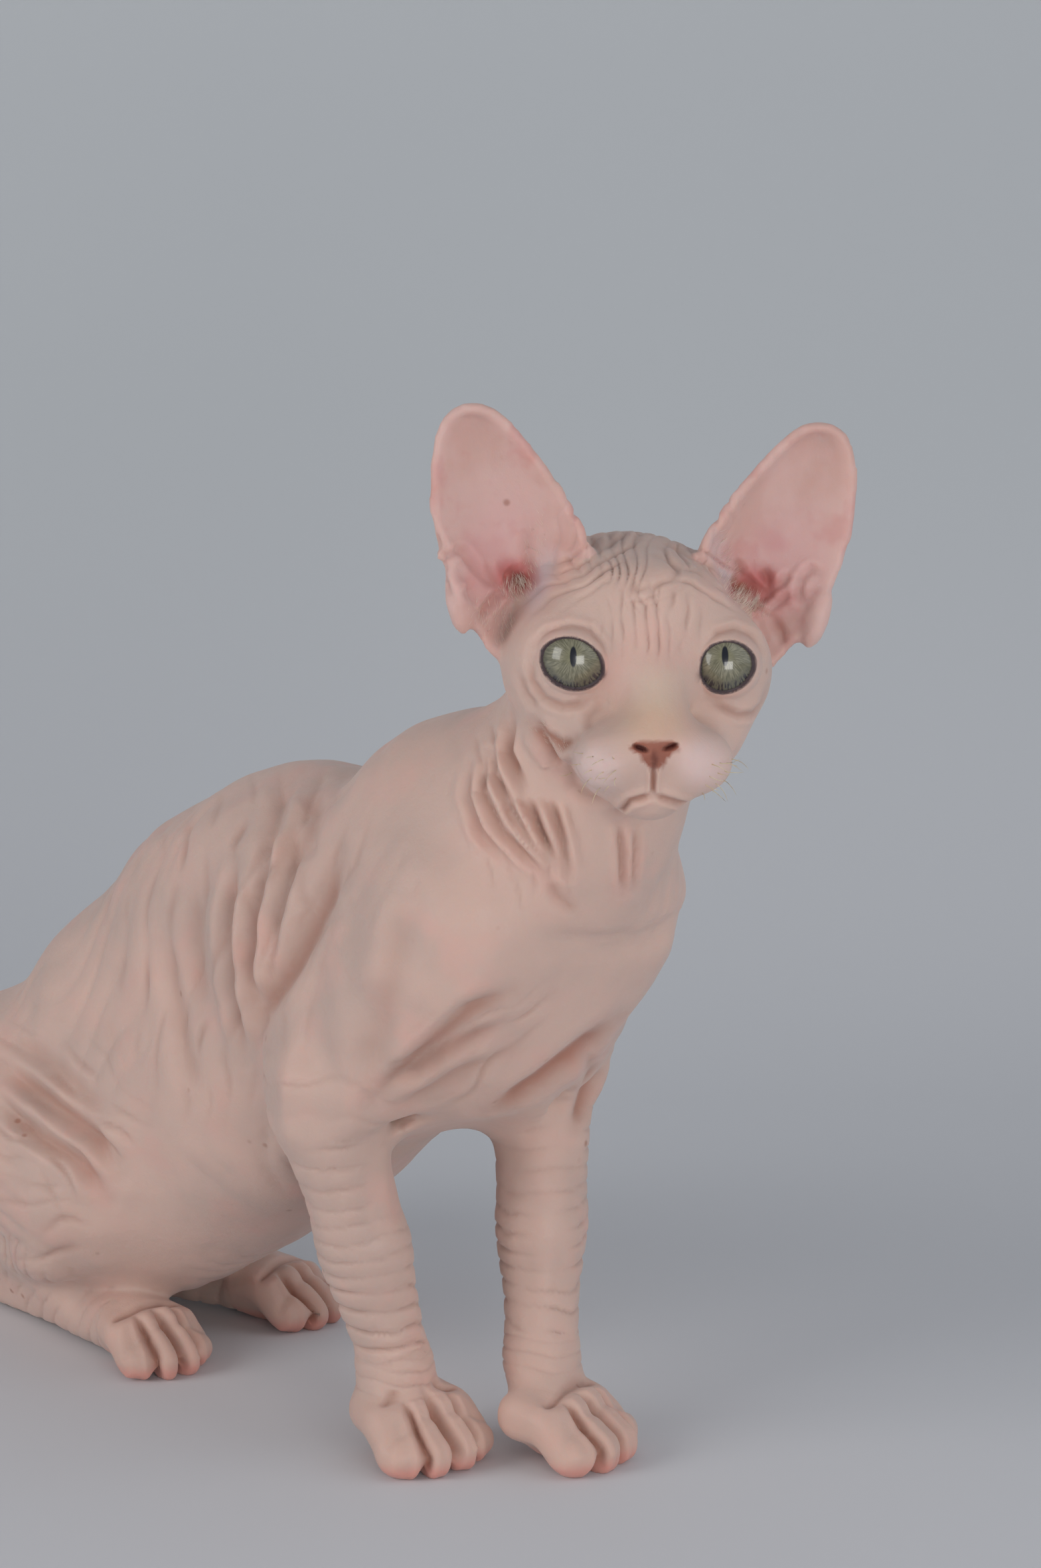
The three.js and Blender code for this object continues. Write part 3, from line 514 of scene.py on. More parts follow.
@dataclass
class EyeShape:
    """One eye as the photograph shows it."""

    side: str
    opening: tuple[float, float]
    pupil: tuple[float, float]
    half_width: float
    half_height: float = 5.3
    tilt: float = 20.0
    radius: float = 8.6
    inner_corner: float = 0.07

    def axes(self, shot: Shot) -> tuple[np.ndarray, np.ndarray, np.ndarray]:
        """Directions out of the eye towards the camera, to the picture's right and up."""
        gaze = shot.place - eye_centre(self.side)
        gaze /= np.linalg.norm(gaze)
        right = np.cross(shot.up, gaze)
        right /= np.linalg.norm(right)
        return gaze, right, np.cross(gaze, right)

    def flat(self, pixel: tuple[float, float], shot: Shot) -> np.ndarray:
        """A pixel's place across the eye, in millimetres right and up of its middle."""
        centre = eye_centre(self.side)
        gaze, right, up = self.axes(shot)
        way = shot.ray(pixel)
        hit = shot.place + way * ((centre - shot.place) @ gaze) / (way @ gaze)
        return np.array([(hit - centre) @ right, (hit - centre) @ up])

    def spread(self, points: np.ndarray, shot: Shot) -> tuple[np.ndarray, np.ndarray, np.ndarray]:
        """Where points lie around the opening between the lids.

        Args:
            points: Places in millimetres.
            shot: The photograph's view.

        Returns:
            The distance as a share of the opening, the angle round it, and the height towards the camera.
        """
        gaze, right, up = self.axes(shot)
        rel = points - eye_centre(self.side)
        middle = self.flat(self.opening, shot)
        across, over = rel @ right - middle[0], rel @ up - middle[1]
        lean = math.radians(-self.tilt if self.side == "right" else self.tilt)
        major = across * math.cos(lean) + over * math.sin(lean)
        minor = -across * math.sin(lean) + over * math.cos(lean)
        if self.side == "left":
            major = -major
        angle = np.arctan2(minor / self.half_height, major / self.half_width)
        corner = 1.0 + self.inner_corner * bell(angle, 0.0, 0.35)
        corner += 0.4 * self.inner_corner * bell(np.abs(angle), math.pi, 0.4)
        return np.hypot(major / self.half_width, minor / self.half_height) / corner, angle, rel @ gaze


@dataclass(frozen=True)
class LidShape:
    """The lids' measures: the lip and the clearance in millimetres, the rest as shares of the opening."""

    edge: float = 0.985
    blend: tuple[float, float] = (1.12, 1.55)
    swell: tuple[float, float] = (1.05, 1.6)
    reach: float = 1.6
    crease: float = 1.06
    clearance: float = 0.35
    lip: float = 0.35
    lip_width: float = 0.035
    rim_at: float = 1.01
    rim_width: float = 0.047
    rim_fill: float = 1.03
    corner: tuple[float, float] = (1.05, 1.28)
    corner_reach: float = 1.35
    corner_width: float = 0.16
    corner_dark: float = 0.8


@dataclass(frozen=True)
class ToeShape:
    """The toes' measures in millimetres, with places counted back from the claws."""

    fan: float = 0.28
    fan_length: float = 17.0
    front: tuple[float, float] = (-12.5, -7.0)
    back: tuple[float, float] = (12.0, 16.0)
    groove_depth: float = 2.9
    groove_width: float = 1.0
    # dark_width and wrist_dark_width are the widths of the painted shade in the toe grooves and the wrist
    # crease.
    dark_width: float = 0.75
    bulge: float = 0.6
    bulge_at: float = 2.6
    bulge_width: float = 1.3
    joint_at: float = 5.2
    joint_depth: float = 0.7
    joint_width: float = 1.3
    knuckle_at: float = 9.8
    knuckle_height: float = 0.8
    knuckle_width: float = 1.8
    wrist_at: float = 13.4
    wrist_depth: float = 1.3
    wrist_width: float = 1.1
    wrist_dark_width: float = 0.9


def ring(mesh: bpy.types.Mesh) -> tuple[np.ndarray, np.ndarray]:
    """The mesh's edges, and how many meet at each corner."""
    flat = np.empty(len(mesh.edges) * 2, dtype=np.int32)
    mesh.edges.foreach_get("vertices", flat)
    pairs = flat.reshape(-1, 2)
    return pairs, np.bincount(pairs.ravel(), minlength=len(mesh.vertices)).astype(float)


def eased(values: np.ndarray, pairs: np.ndarray, count: np.ndarray) -> np.ndarray:
    """The mean of each corner's neighbours.

    Args:
        values: One row for each corner.
        pairs: The edges.
        count: How many edges meet at each corner.

    Returns:
        One row for each corner.
    """
    out = np.empty_like(values)
    for column in range(values.shape[1]):
        value = values[:, column]
        total = np.bincount(pairs[:, 0], value[pairs[:, 1]], len(values))
        total += np.bincount(pairs[:, 1], value[pairs[:, 0]], len(values))
        out[:, column] = total / count
    return out


def joined_copy(names: list[str], title: str, grow: float) -> bpy.types.Object:
    """Copies CAD solids into one new object, merged and a little swollen so that they meet.

    Args:
        names: The CAD nodes.
        title: The new object's name.
        grow: How far each surface moves out, in millimetres.

    Returns:
        The joined object.
    """
    copies = []
    for name in names:
        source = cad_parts[name]
        piece = bpy.data.objects.new(f"{title}_{name}", source.data.copy())
        piece.matrix_world = source.matrix_world
        bpy.context.scene.collection.objects.link(piece)
        shape = bmesh.new()
        shape.from_mesh(piece.data)
        bmesh.ops.remove_doubles(shape, verts=shape.verts, dist=0.00001)
        shape.normal_update()
        for corner in shape.verts:
            corner.co += corner.normal * (grow * MM)
        shape.to_mesh(piece.data)
        shape.free()
        copies.append(piece)
    activate(copies[0])
    for piece in copies[1:]:
        piece.select_set(True)
    bpy.ops.object.join()
    whole = bpy.context.view_layer.objects.active
    whole.name = title
    whole.data.materials.clear()
    return whole


@dataclass
class Skin:
    """The bare skin: one closed surface over all the flesh, with its folds and lids."""

    shot: Shot
    head: HeadFrame
    eyes: list[EyeShape]
    voxel: float = 1.0
    swell: float = 0.25
    most_triangles: int = 196000
    spine_x: float = -2.0
    lid_height: float = 0.8
    ball_inset: float = 1.0
    quick_voxel: float = 1.7
    budget_blur: int = 12
    lost_blur: int = 25
    most_given_back: float = 1.5
    lowest: float = 0.02
    lid_edge: float = 0.99
    lid_band: float = 0.028
    pad_height: float = 1.0
    nostril_depth: float = 1.7
    rounds: dict[str, int] = field(
        default_factory=lambda: {
            "chest": 150, "belly": 170, "rump": 170, "neck": 70, "thigh": 60, "foreleg_upper": 60,
            "foreleg_lower": 34, "hindleg_lower": 34, "head": 14, "nose_leather": 4, "ear": 5,
            "forepaw": 6, "hindpaw": 6, "tail": 10,
        }
    )

    def build(self) -> bpy.types.Object:
        """Makes the skin and its marks.

        Returns:
            The finished skin.
        """
        self.skin = joined_copy(FLESH + [f"eye_{side}" for side in SIDES], "skin", self.swell)
        self.close()
        self.label()
        self.relax()
        self.refine()
        self.sculpt()
        self.thin()
        self.mark()
        activate(self.skin)
        bpy.ops.object.shade_smooth()
        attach(self.skin, "root")
        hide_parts(*FLESH)
        self.skin.data.materials.append(SkinFinish().material())
        LOG.info("skin: %d faces", len(self.skin.data.polygons))
        return self.skin

    def close(self) -> None:
        """Turns the joined solids into one even surface."""
        activate(self.skin)
        tool = self.skin.modifiers.new("close", "REMESH")
        tool.mode = "VOXEL"
        tool.voxel_size = self.voxel * MM
        bpy.ops.object.modifier_apply(modifier=tool.name)
        shape = bmesh.new()
        shape.from_mesh(self.skin.data)
        self.drop_islands(shape)
        shape.to_mesh(self.skin.data)
        shape.free()
        LOG.info("closed skin: %d corners", len(self.skin.data.vertices))

    @staticmethod
    def drop_islands(shape: bmesh.types.BMesh) -> None:
        """Keeps only the largest connected part."""
        seen: set[bmesh.types.BMVert] = set()
        parts = []
        for first in shape.verts:
            if first in seen:
                continue
            seen.add(first)
            part, queue = [first], [first]
            while queue:
                corner = queue.pop()
                for edge in corner.link_edges:
                    other = edge.other_vert(corner)
                    if other not in seen:
                        seen.add(other)
                        part.append(other)
                        queue.append(other)
            parts.append(part)
        parts.sort(key=len, reverse=True)
        for part in parts[1:]:
            bmesh.ops.delete(shape, geom=part, context="VERTS")

    def label(self) -> None:
        """Finds the CAD solid under each corner of the skin."""
        points, faces, owners = [], [], []
        for name in FLESH:
            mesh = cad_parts[name].data
            start = len(points)
            points.extend(Vector(corner.co) for corner in mesh.vertices)
            for face in mesh.polygons:
                faces.append([start + corner for corner in face.vertices])
                owners.append(name)
        self.tree = BVHTree.FromPolygons(points, faces)
        self.owners = owners

    def owners_of(self, points: np.ndarray) -> np.ndarray:
        """The name of the CAD solid nearest to each place."""
        return np.array([self.owners[self.tree.find_nearest(Vector(place))[2]] for place in points * MM])

    def relax(self) -> None:
        """Rounds off the CAD's facets, most on the trunk and least on the ears and toes."""
        mesh = self.skin.data
        points = places(mesh)
        pairs, count = ring(mesh)
        names = self.owners_of(points)
        budget = np.zeros(len(points))
        for start, rounds in self.rounds.items():
            budget[np.char.startswith(names, start)] = rounds
        budget = budget[:, None]
        for _ in range(self.budget_blur):
            budget = 0.5 * budget + 0.5 * eased(budget, pairs, count)
        budget = budget[:, 0]
        before = points.copy()
        for step in range(int(budget.max())):
            pull = np.clip(budget - step, 0.0, 1.0)[:, None] * 0.5
            points = points + (eased(points, pairs, count) - points) * pull
        put_places(mesh, points)
        lost = np.sum((before - points) * outward(mesh), axis=1)[:, None]
        for _ in range(self.lost_blur):
            lost = eased(lost, pairs, count)
        points += outward(mesh) * np.clip(lost, 0.0, self.most_given_back)
        put_places(mesh, points)

    def refine(self) -> None:
        """Splits the faces of the face and of the toes, and again round the eyes and the nose."""
        mesh = self.skin.data
        points = places(mesh)
        local = self.head.local(points)
        face = (local[:, 1] < 26) & (np.abs(local[:, 0]) < 36) & (local[:, 2] > -36) & (local[:, 2] < 34)
        for foot in ("forepaw", "hindpaw"):
            for side in SIDES:
                low, high = (np.array(corner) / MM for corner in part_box(f"{foot}_{side}"))
                face |= np.all((points > low - 1) & (points < high + 1), axis=1)
        self.split(face)
        points = places(mesh)
        near = np.zeros(len(points), dtype=bool)
        for eye in self.eyes:
            share, _, height = eye.spread(points, self.shot)
            near |= (share < 1.3) & (height > 0)
        local = self.head.local(points)
        near |= (np.abs(local[:, 0]) < 8) & (np.abs(local[:, 2] + 19) < 8) & (local[:, 1] < -10)
        self.split(near)

    def split(self, chosen: np.ndarray) -> None:
        """Halves the edges whose two ends are chosen.

        Args:
            chosen: Whether each corner is in the finer part.
        """
        mesh = self.skin.data
        shape = bmesh.new()
        shape.from_mesh(mesh)
        shape.verts.ensure_lookup_table()
        edges = [edge for edge in shape.edges if chosen[edge.verts[0].index] and chosen[edge.verts[1].index]]
        bmesh.ops.subdivide_edges(shape, edges=edges, cuts=1, use_grid_fill=True)
        wide = [face for face in shape.faces if len(face.verts) > 4]
        bmesh.ops.triangulate(shape, faces=wide)
        shape.to_mesh(mesh)
        shape.free()
        points = places(mesh)
        pairs, count = ring(mesh)
        fine = np.zeros((len(points), 1))
        fine[len(chosen):] = 1.0
        fine = np.clip(fine + eased(fine, pairs, count), 0.0, 1.0)
        for _ in range(3):
            points += (eased(points, pairs, count) - points) * fine * 0.5
        put_places(mesh, points)

    def lids(self, points: np.ndarray) -> tuple[np.ndarray, np.ndarray]:
        """Shapes the lids over the eyeballs.

        Args:
            points: The skin's corners.

        Returns:
            The new corners, and how dark each is painted: the lid's own dark edge, and painted shade on the
            skin under the eyeball.
        """
        rims = np.zeros(len(points))
        lid = LidShape()
        for eye in self.eyes:
            centre = eye_centre(eye.side)
            share, angle, height = eye.spread(points, self.shot)
            front = height > -1.0
            rel = points - centre
            gone = np.linalg.norm(rel, axis=1)
            over = eye.radius + self.lid_height
            weight = 1.0 - soft_step(share, *lid.blend)
            target = np.where(gone > over, over + (gone - over) * soft_step(share, *lid.swell), over)
            wanted = gone + (target - gone) * weight
            clear = np.maximum(wanted, eye.radius + lid.clearance)
            wanted = np.where(share > lid.crease, clear, wanted)
            turned_in = wanted - lid.lip * bell(share, 1.0, lid.lip_width)
            wanted = np.where(share >= lid.edge, turned_in, eye.radius - self.ball_inset)
            moved = front & (share < lid.reach)
            wanted = np.where(moved, wanted, gone)
            points = np.where(moved[:, None], centre + rel / gone[:, None] * wanted[:, None], points)
            dark = np.exp(-((np.abs(share - lid.rim_at) / lid.rim_width) ** 4))
            rims = np.maximum(rims, np.where(front, dark, 0.0))
            # Up to just past the lid's edge and on the skin tucked under the eyeball, fully dark: the lid's
            # dark margin, and painted shade where lid meets ball.
            rims = np.maximum(rims, np.where(front & (share < lid.rim_fill), 1.0, 0.0))
            corner = lid.corner_dark * bell(angle, 0.0, lid.corner_width)
            corner = corner * (1 - soft_step(share, *lid.corner))
            rims = np.maximum(rims, np.where(front & (share < lid.corner_reach), corner, 0.0))
        return points, rims

    def snap(self, points: np.ndarray) -> np.ndarray:
        """Moves the corners next to each lid's edge onto it, so that the edge runs smooth."""
        for eye in self.eyes:
            gaze, right, up = eye.axes(self.shot)
            share, _, height = eye.spread(points, self.shot)
            band = (np.abs(share - self.lid_edge) < self.lid_band) & (height > 0)
            middle = eye.flat(eye.opening, self.shot)
            start = eye_centre(eye.side) + right * middle[0] + up * middle[1]
            rel = points[band] - start
            flat = rel - np.outer(rel @ gaze, gaze)
            points[band] += flat * (self.lid_edge / share[band] - 1.0)[:, None]
        return points

    def sculpt(self) -> None:
        """Presses the folds, the nose and the lids into the skin."""
        mesh = self.skin.data
        points = self.snap(places(mesh))
        put_places(mesh, points)
        face = outward(mesh)
        names = self.owners_of(points)
        head = np.any([np.char.startswith(names, start) for start in ("head", "ear", "nose")], axis=0)
        self.crease = np.zeros(len(points))
        lift = np.zeros(len(points))
        local = self.head.local(points)
        below = -local[:, 2]
        throat = soft_step(local[:, 1], 9.0, 15.0) * soft_step(below, 4.0, 11.0)
        throat = np.maximum(soft_step(below, 33.0, 37.0), throat)
        lift += self.fold_set([fold.value for fold in HeadFold], points, face, head * (1.0 - throat))
        lift += self.forehead(points, face, head)
        body = np.where(head, throat, 1.0)
        for mirrored in (False, True):
            there, facing, side = points.copy(), face.copy(), np.ones(len(points))
            if mirrored:
                there[:, 0] = 2 * self.spine_x - there[:, 0]
                facing[:, 0] = -facing[:, 0]
                side = 1.0 - soft_step(there[:, 0], self.spine_x - 2.0, self.spine_x + 14.0)
                side = side * soft_step(-face @ self.towards(points).T.mean(axis=1), -0.1, 0.3)
            lift += self.fold_set([fold.value for fold in BodyFold], there, facing, body * side)
            lift += self.rows(there, facing, body * side)
        lift += self.leg_rings(points, names)
        lift += self.loose_folds(points, names)
        lift += self.toes(points, face, names)
        points = points + face * lift[:, None]
        points[:, 2] = np.maximum(points[:, 2], self.lowest)
        points = self.nose(points, face)
        points, rims = self.lids(points)
        put_places(mesh, points)
        # The crease values say where painted shade darkens the skin's creases.
        keep_values(mesh, "crease", np.clip(self.crease, 0.0, 1.0))
        keep_values(mesh, "rim", rims)

    def towards(self, points: np.ndarray) -> np.ndarray:
        """The direction from each place to the camera."""
        way = self.shot.place - points
        return way / np.linalg.norm(way, axis=1)[:, None]

    def fold_set(
        self, folds: list[Fold], points: np.ndarray, face: np.ndarray, share: np.ndarray
    ) -> np.ndarray:
        """Works out how far some folds move the skin.

        Args:
            folds: The folds, in pixels.
            points: Where the skin's corners are, or where their mirror images are.
            face: Which way they face.
            share: How much each corner takes part.

        Returns:
            The move outwards of each corner, in millimetres.
        """
        pixels, far = self.shot.project(points)
        seen = soft_step(np.sum(face * self.towards(points), axis=1), 0.02, 0.3) * share
        scale = far / self.shot.focal
        lift = np.zeros(len(points))
        for fold in folds:
            line = np.array(fold.line, dtype=float)
            reach = 4.0 * fold.width / scale.min()
            low, high = line.min(axis=0) - reach, line.max(axis=0) + reach
            pick = np.flatnonzero(np.all((pixels > low) & (pixels < high), axis=1) & (seen > 0.01))
            if not len(pick):
                continue
            best = np.full(len(pick), 1e9)
            part = np.zeros(len(pick))
            lengths = np.linalg.norm(np.diff(line, axis=0), axis=1)
            gone = 0.0
            for first, last, length in zip(line[:-1], line[1:], lengths):
                step = last - first
                rel = pixels[pick] - first
                along = np.clip(rel @ step / (length * length), 0.0, 1.0)
                away = np.linalg.norm(rel - along[:, None] * step, axis=1)
                closer = away < best
                best = np.where(closer, away, best)
                part = np.where(closer, (gone + along * length) / lengths.sum(), part)
                gone += length
            away = best * scale[pick] / fold.width
            fade = np.clip(np.sin(math.pi * np.clip(part, 0.04, 0.96)) * 1.6, 0.0, 1.0) * seen[pick]
            lift[pick] += fold.depth * fade * (fold.ridge * bell(away, 1.9, 1.0) - bell(away, 0.0, 1.0))
            # Paints the skin darker along each fold's line: painted shade in the crease.
            self.crease[pick] = np.maximum(self.crease[pick], fold.shade_tint * fade * bell(away, 0.0, 0.8))
        return lift

    def forehead(self, points: np.ndarray, face: np.ndarray, head: np.ndarray) -> np.ndarray:
        """The brow's upright wrinkles, the squiggles above them and the rows that run to the ears.

        Args:
            points: The skin's corners.
            face: Which way they face.
            head: Whether each is on the head.

        Returns:
            The move outwards of each corner, in millimetres.
        """
        pixels, _ = self.shot.project(points)
        local = self.head.local(points)
        seen = soft_step(np.sum(face * self.towards(points), axis=1), -0.1, 0.25) * head
        lift = np.zeros(len(points))
        for wrinkles in (member.value for member in BrowWrinkles):
            wave = wrinkles.wave(pixels)
            uneven = np.clip(0.75 + 0.45 * drift(pixels, 55, wrinkles.seed + 9), 0.2, 1.2)
            share = wrinkles.patch.share(pixels) * seen * uneven
            lift += wrinkles.height * share * (wave - 0.7)
            # Paints the wrinkles' creases darker: painted shade.
            self.crease = np.maximum(self.crease, 0.3 * share * np.clip(1.0 - 1.6 * wave, 0.0, 1.0))
        back = soft_step(local[:, 1], 2.0, 14.0) * soft_step(local[:, 2], 8.0, 18.0) * head
        back = back * (1 - soft_step(np.abs(local[:, 0]), 16.0, 26.0))
        phase = local[:, 0] / 3.2 + 0.5 * drift(local, 15.0, 21)
        bare = 1 - BrowWrinkles.CROWN.value.patch.share(pixels) * seen
        lift += 0.7 * back * bare * (furrows(phase, WRINKLE_WIDTH) - 0.6)
        return lift

    def rows(self, points: np.ndarray, face: np.ndarray, share: np.ndarray) -> np.ndarray:
        """Rows of fine loose folds on the flank, the thigh, the neck and the shoulder.

        Args:
            points: The skin's corners, or their mirror images.
            face: Which way they face.
            share: How much each corner takes part.

        Returns:
            The move outwards of each corner, in millimetres.
        """
        pixels, _ = self.shot.project(points)
        seen = soft_step(np.sum(face * self.towards(points), axis=1), 0.0, 0.35) * share
        lift = np.zeros(len(points))
        for wrinkles in (member.value for member in BodyWrinkles):
            wave = wrinkles.wave(pixels)
            uneven = drift(pixels, wrinkles.spacing * 2.6, wrinkles.seed + 9)
            amount = wrinkles.patch.share(pixels, 0.5) * seen * np.clip(0.6 + 0.7 * uneven, 0.1, 1.3)
            lift += wrinkles.height * amount * (wave - 0.7)
            # Paints the rows' creases darker: painted shade.
            self.crease = np.maximum(self.crease, 0.32 * amount * np.clip(1.0 - 1.5 * wave, 0.0, 1.0))
        return lift

    def toes(self, points: np.ndarray, face: np.ndarray, names: np.ndarray) -> np.ndarray:
        """Parts the toes of each foot, from its claws back to its knuckles.

        Args:
            points: The skin's corners.
            face: Which way they face.
            names: The CAD solid under each.

        Returns:
            The move outwards of each corner, in millimetres.
        """
        lift = np.zeros(len(points))
        toe = ToeShape()
        for foot in ("fore", "hind"):
            for side in SIDES:
                on = names == f"{foot}paw_{side}"
                boxes = [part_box(f"claw_{foot}_{side}_{number}") for number in (1, 2, 3, 4)]
                claws = np.array([(np.array(low) + np.array(high)) / 2 / MM for low, high in boxes])
                middle = claws.mean(axis=0)
                across = claws[3] - claws[1]
                across[2] = 0.0
                across /= np.linalg.norm(across)
                back = np.array([-across[1], across[0], 0.0])
                low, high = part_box(f"{foot}paw_{side}")
                if ((np.array(low) + np.array(high)) / 2 / MM - middle) @ back < 0:
                    back = -back
                rel = points - middle
                along = rel @ back
                aside = rel @ across / (1.0 - toe.fan * np.clip(along / toe.fan_length, 0.0, 1.0))
                spots = np.sort((claws - middle) @ across)
                reach = on * soft_step(-along, *toe.front) * (1 - soft_step(-along, *toe.back))
                for gap in (spots[1:] + spots[:-1]) / 2:
                    off = np.abs(aside - gap - 0.5 * drift(points, 9.0, 71))
                    bulge = toe.bulge * bell(off, toe.bulge_at, toe.bulge_width)
                    lift += reach * (bulge - toe.groove_depth * bell(off, 0.0, toe.groove_width))
                    # Paints the groove between two toes dark: painted shade.
                    self.crease = np.maximum(self.crease, 0.95 * reach * bell(off, 0.0, toe.dark_width))
                top = np.clip(face[:, 2] + 0.2, 0.0, 1.0)
                lift -= toe.joint_depth * reach * top * bell(along, toe.joint_at, toe.joint_width)
                near = on * soft_step(top, 0.3, 0.8) * (1 - soft_step(np.abs(aside), *toe.back))
                knuckle = toe.knuckle_height * bell(along, toe.knuckle_at, toe.knuckle_width)
                lift += near * (knuckle - toe.wrist_depth * bell(along, toe.wrist_at, toe.wrist_width))
                # Paints the wrist crease darker: painted shade.
                dark = 0.5 * near * bell(along, toe.wrist_at, toe.wrist_dark_width)
                self.crease = np.maximum(self.crease, dark)
        return lift

    def leg_rings(self, points: np.ndarray, names: np.ndarray) -> np.ndarray:
        """The rings of loose skin round the legs, closest at the wrists.

        Args:
            points: The skin's corners.
            names: The CAD solid under each.

        Returns:
            The move outwards of each corner, in millimetres.
        """
        lift = np.zeros(len(points))
        height = points[:, 2]
        for rings in (member.value for member in LegRings):
            way = height
            on = np.char.startswith(names, rings.part).astype(float)
            if rings.part == "hindleg_lower":
                way = points[:, 1] * 0.8 + height * 0.6
            elif rings.part == "tail":
                way = np.linalg.norm(points[:, :2] - TAIL_BEND, axis=1)
            else:
                on *= soft_step(height, rings.low, rings.low + 6) * (
                    1 - soft_step(height, rings.high - 16, rings.high)
                )
            phase = way / rings.spacing + 0.3 * drift(points, 34.0, rings.seed)
            wave = furrows(phase + 0.1 * drift(points, 11.0, rings.seed + 5), 0.17)
            amount = rings.strength * (0.65 + 0.6 * drift(points, 18.0, rings.seed + 7)) * on
            if rings.part == "foreleg_lower":
                amount = amount * (1.0 + 1.0 * (1 - soft_step(height, 34, 52)))
            lift += amount * (wave - 0.75)
            # Paints the rings' creases darker: painted shade.
            dark = 0.4 * np.clip(amount, 0, 1) * np.clip(1.0 - 1.5 * wave, 0.0, 1.0)
            self.crease = np.maximum(self.crease, dark)
        return lift

    def loose_folds(self, points: np.ndarray, names: np.ndarray) -> np.ndarray:
        """Shallow folds that hang round the trunk and the thighs, on the far side too.

        Args:
            points: The skin's corners.
            names: The CAD solid under each.

        Returns:
            The move outwards of each corner, in millimetres.
        """
        lift = np.zeros(len(points))
        for drape in (member.value for member in Drapes):
            on = np.zeros(len(points))
            for part in drape.parts:
                on = np.maximum(on, np.char.startswith(names, part))
            phase = points @ np.array(drape.across) / drape.spacing + 0.8 * drift(points, 45.0, drape.seed)
            uneven = np.clip(0.5 + drift(points, 38.0, drape.seed + 3), 0.0, 1.3)
            lift += drape.strength * on * uneven * (furrows(phase, 0.26) - 0.65)
        return lift

    def nose(self, points: np.ndarray, face: np.ndarray) -> np.ndarray:
        """Opens the nostrils and fills the whisker pads.

        Args:
            points: The skin's corners.
            face: Which way they face.

        Returns:
            The new corners.
        """
        pixels, _ = self.shot.project(points)
        local = self.head.local(points)
        front = (local[:, 1] < -12) & (np.abs(local[:, 2] + 17) < 9)
        for centre, turn in NOSTRIL_PLACES:
            pit = Patch(centre, (11, 4.2), turn).share(pixels, 0.5) * front
            points = points - face * (self.nostril_depth * pit)[:, None]
        for pad in WHISKER_PADS:
            bulge = pad.share(pixels, 0.9) * (local[:, 1] < 0)
            points = points + face * (self.pad_height * bulge)[:, None]
        return points

    def thin(self) -> None:
        """Brings the skin under its number of triangles, where it is flattest first."""
        activate(self.skin)
        mesh = self.skin.data
        triangles = sum(len(face.vertices) - 2 for face in mesh.polygons)
        LOG.info("sculpted skin: %d triangles", triangles)
        if triangles > self.most_triangles:
            tool = self.skin.modifiers.new("thin", "DECIMATE")
            tool.ratio = self.most_triangles / triangles
            bpy.ops.object.modifier_apply(modifier=tool.name)

    def mark(self) -> None:
        """Stores where the skin changes colour."""
        mesh = self.skin.data
        points = places(mesh)
        face = outward(mesh)
        local = self.head.local(points)
        pixels, _ = self.shot.project(points)
        names = self.owners_of(points)
        seen = soft_step(np.sum(face * self.towards(points), axis=1), 0.0, 0.25)
        head = (np.char.startswith(names, "head") | np.char.startswith(names, "nose")).astype(float)
        ears = np.char.startswith(names, "ear").astype(float)
        front = (local[:, 1] < 2).astype(float) * head
        # The nostrils and the groove under the nose are painted near black: painted shade in the openings.
        nostril_shade = np.zeros(len(points))
        for centre, turn in NOSTRIL_PLACES:
            nostril_shade = np.maximum(nostril_shade, Patch(centre, (11, 4.0), turn).share(pixels, 0.4) * front)
        nostril_shade = np.maximum(nostril_shade, 0.55 * PHILTRUM_SHADE.share(pixels, 0.6) * front)
        inner = ears * soft_step(face @ self.head.axes[1] * -1.0, 0.0, 0.45)
        shown = seen * np.clip(ears + head, 0, 1)
        rooms = {
            Stains.EAR_PINK: inner, Stains.EAR_RED: shown * (local[:, 1] > -2), Stains.CANAL_SHADE: shown,
            Stains.BRIDGE: front, Stains.BRIDGE_TAN: front, Stains.PAD: front * seen, Stains.LILAC: shown,
        }
        for stain, room in rooms.items():
            keep_values(mesh, stain.name.lower(), stain.value.share(pixels) * room)
        crease = np.empty(len(points), dtype=np.float32)
        mesh.attributes["crease"].data.foreach_get("value", crease)
        height = points[:, 2]
        paws = np.char.startswith(names, "forepaw") | np.char.startswith(names, "hindpaw")
        for name, values in (
            ("leather", self.leather(pixels) * front * (local[:, 1] < -14)),
            ("nostril_shade", nostril_shade),
            # Painted shade in the creases, weaker on the ears.
            ("crease", crease * (1.0 - 0.6 * ears)),
            ("ear_skin", ears),
            ("sole", paws * (1 - soft_step(height, 1.5, 5.5))),
            ("toe", paws * (1 - soft_step(height, 9.0, 20.0))),
        ):
            keep_values(mesh, name, values)

    def leather(self, pixels: np.ndarray) -> np.ndarray:
        """How far each pixel lies inside the nose leather's outline."""
        across, down = pixels[:, 0], pixels[:, 1]
        wide = np.interp(down, LEATHER_ROWS, LEATHER_HALF_WIDTHS)
        inside = 1 - soft_step(np.abs(across - LEATHER_MIDDLE) - wide, -2.0, 2.5)
        return inside * soft_step(down, 1113, 1119) * (1 - soft_step(down, 1154, 1161))


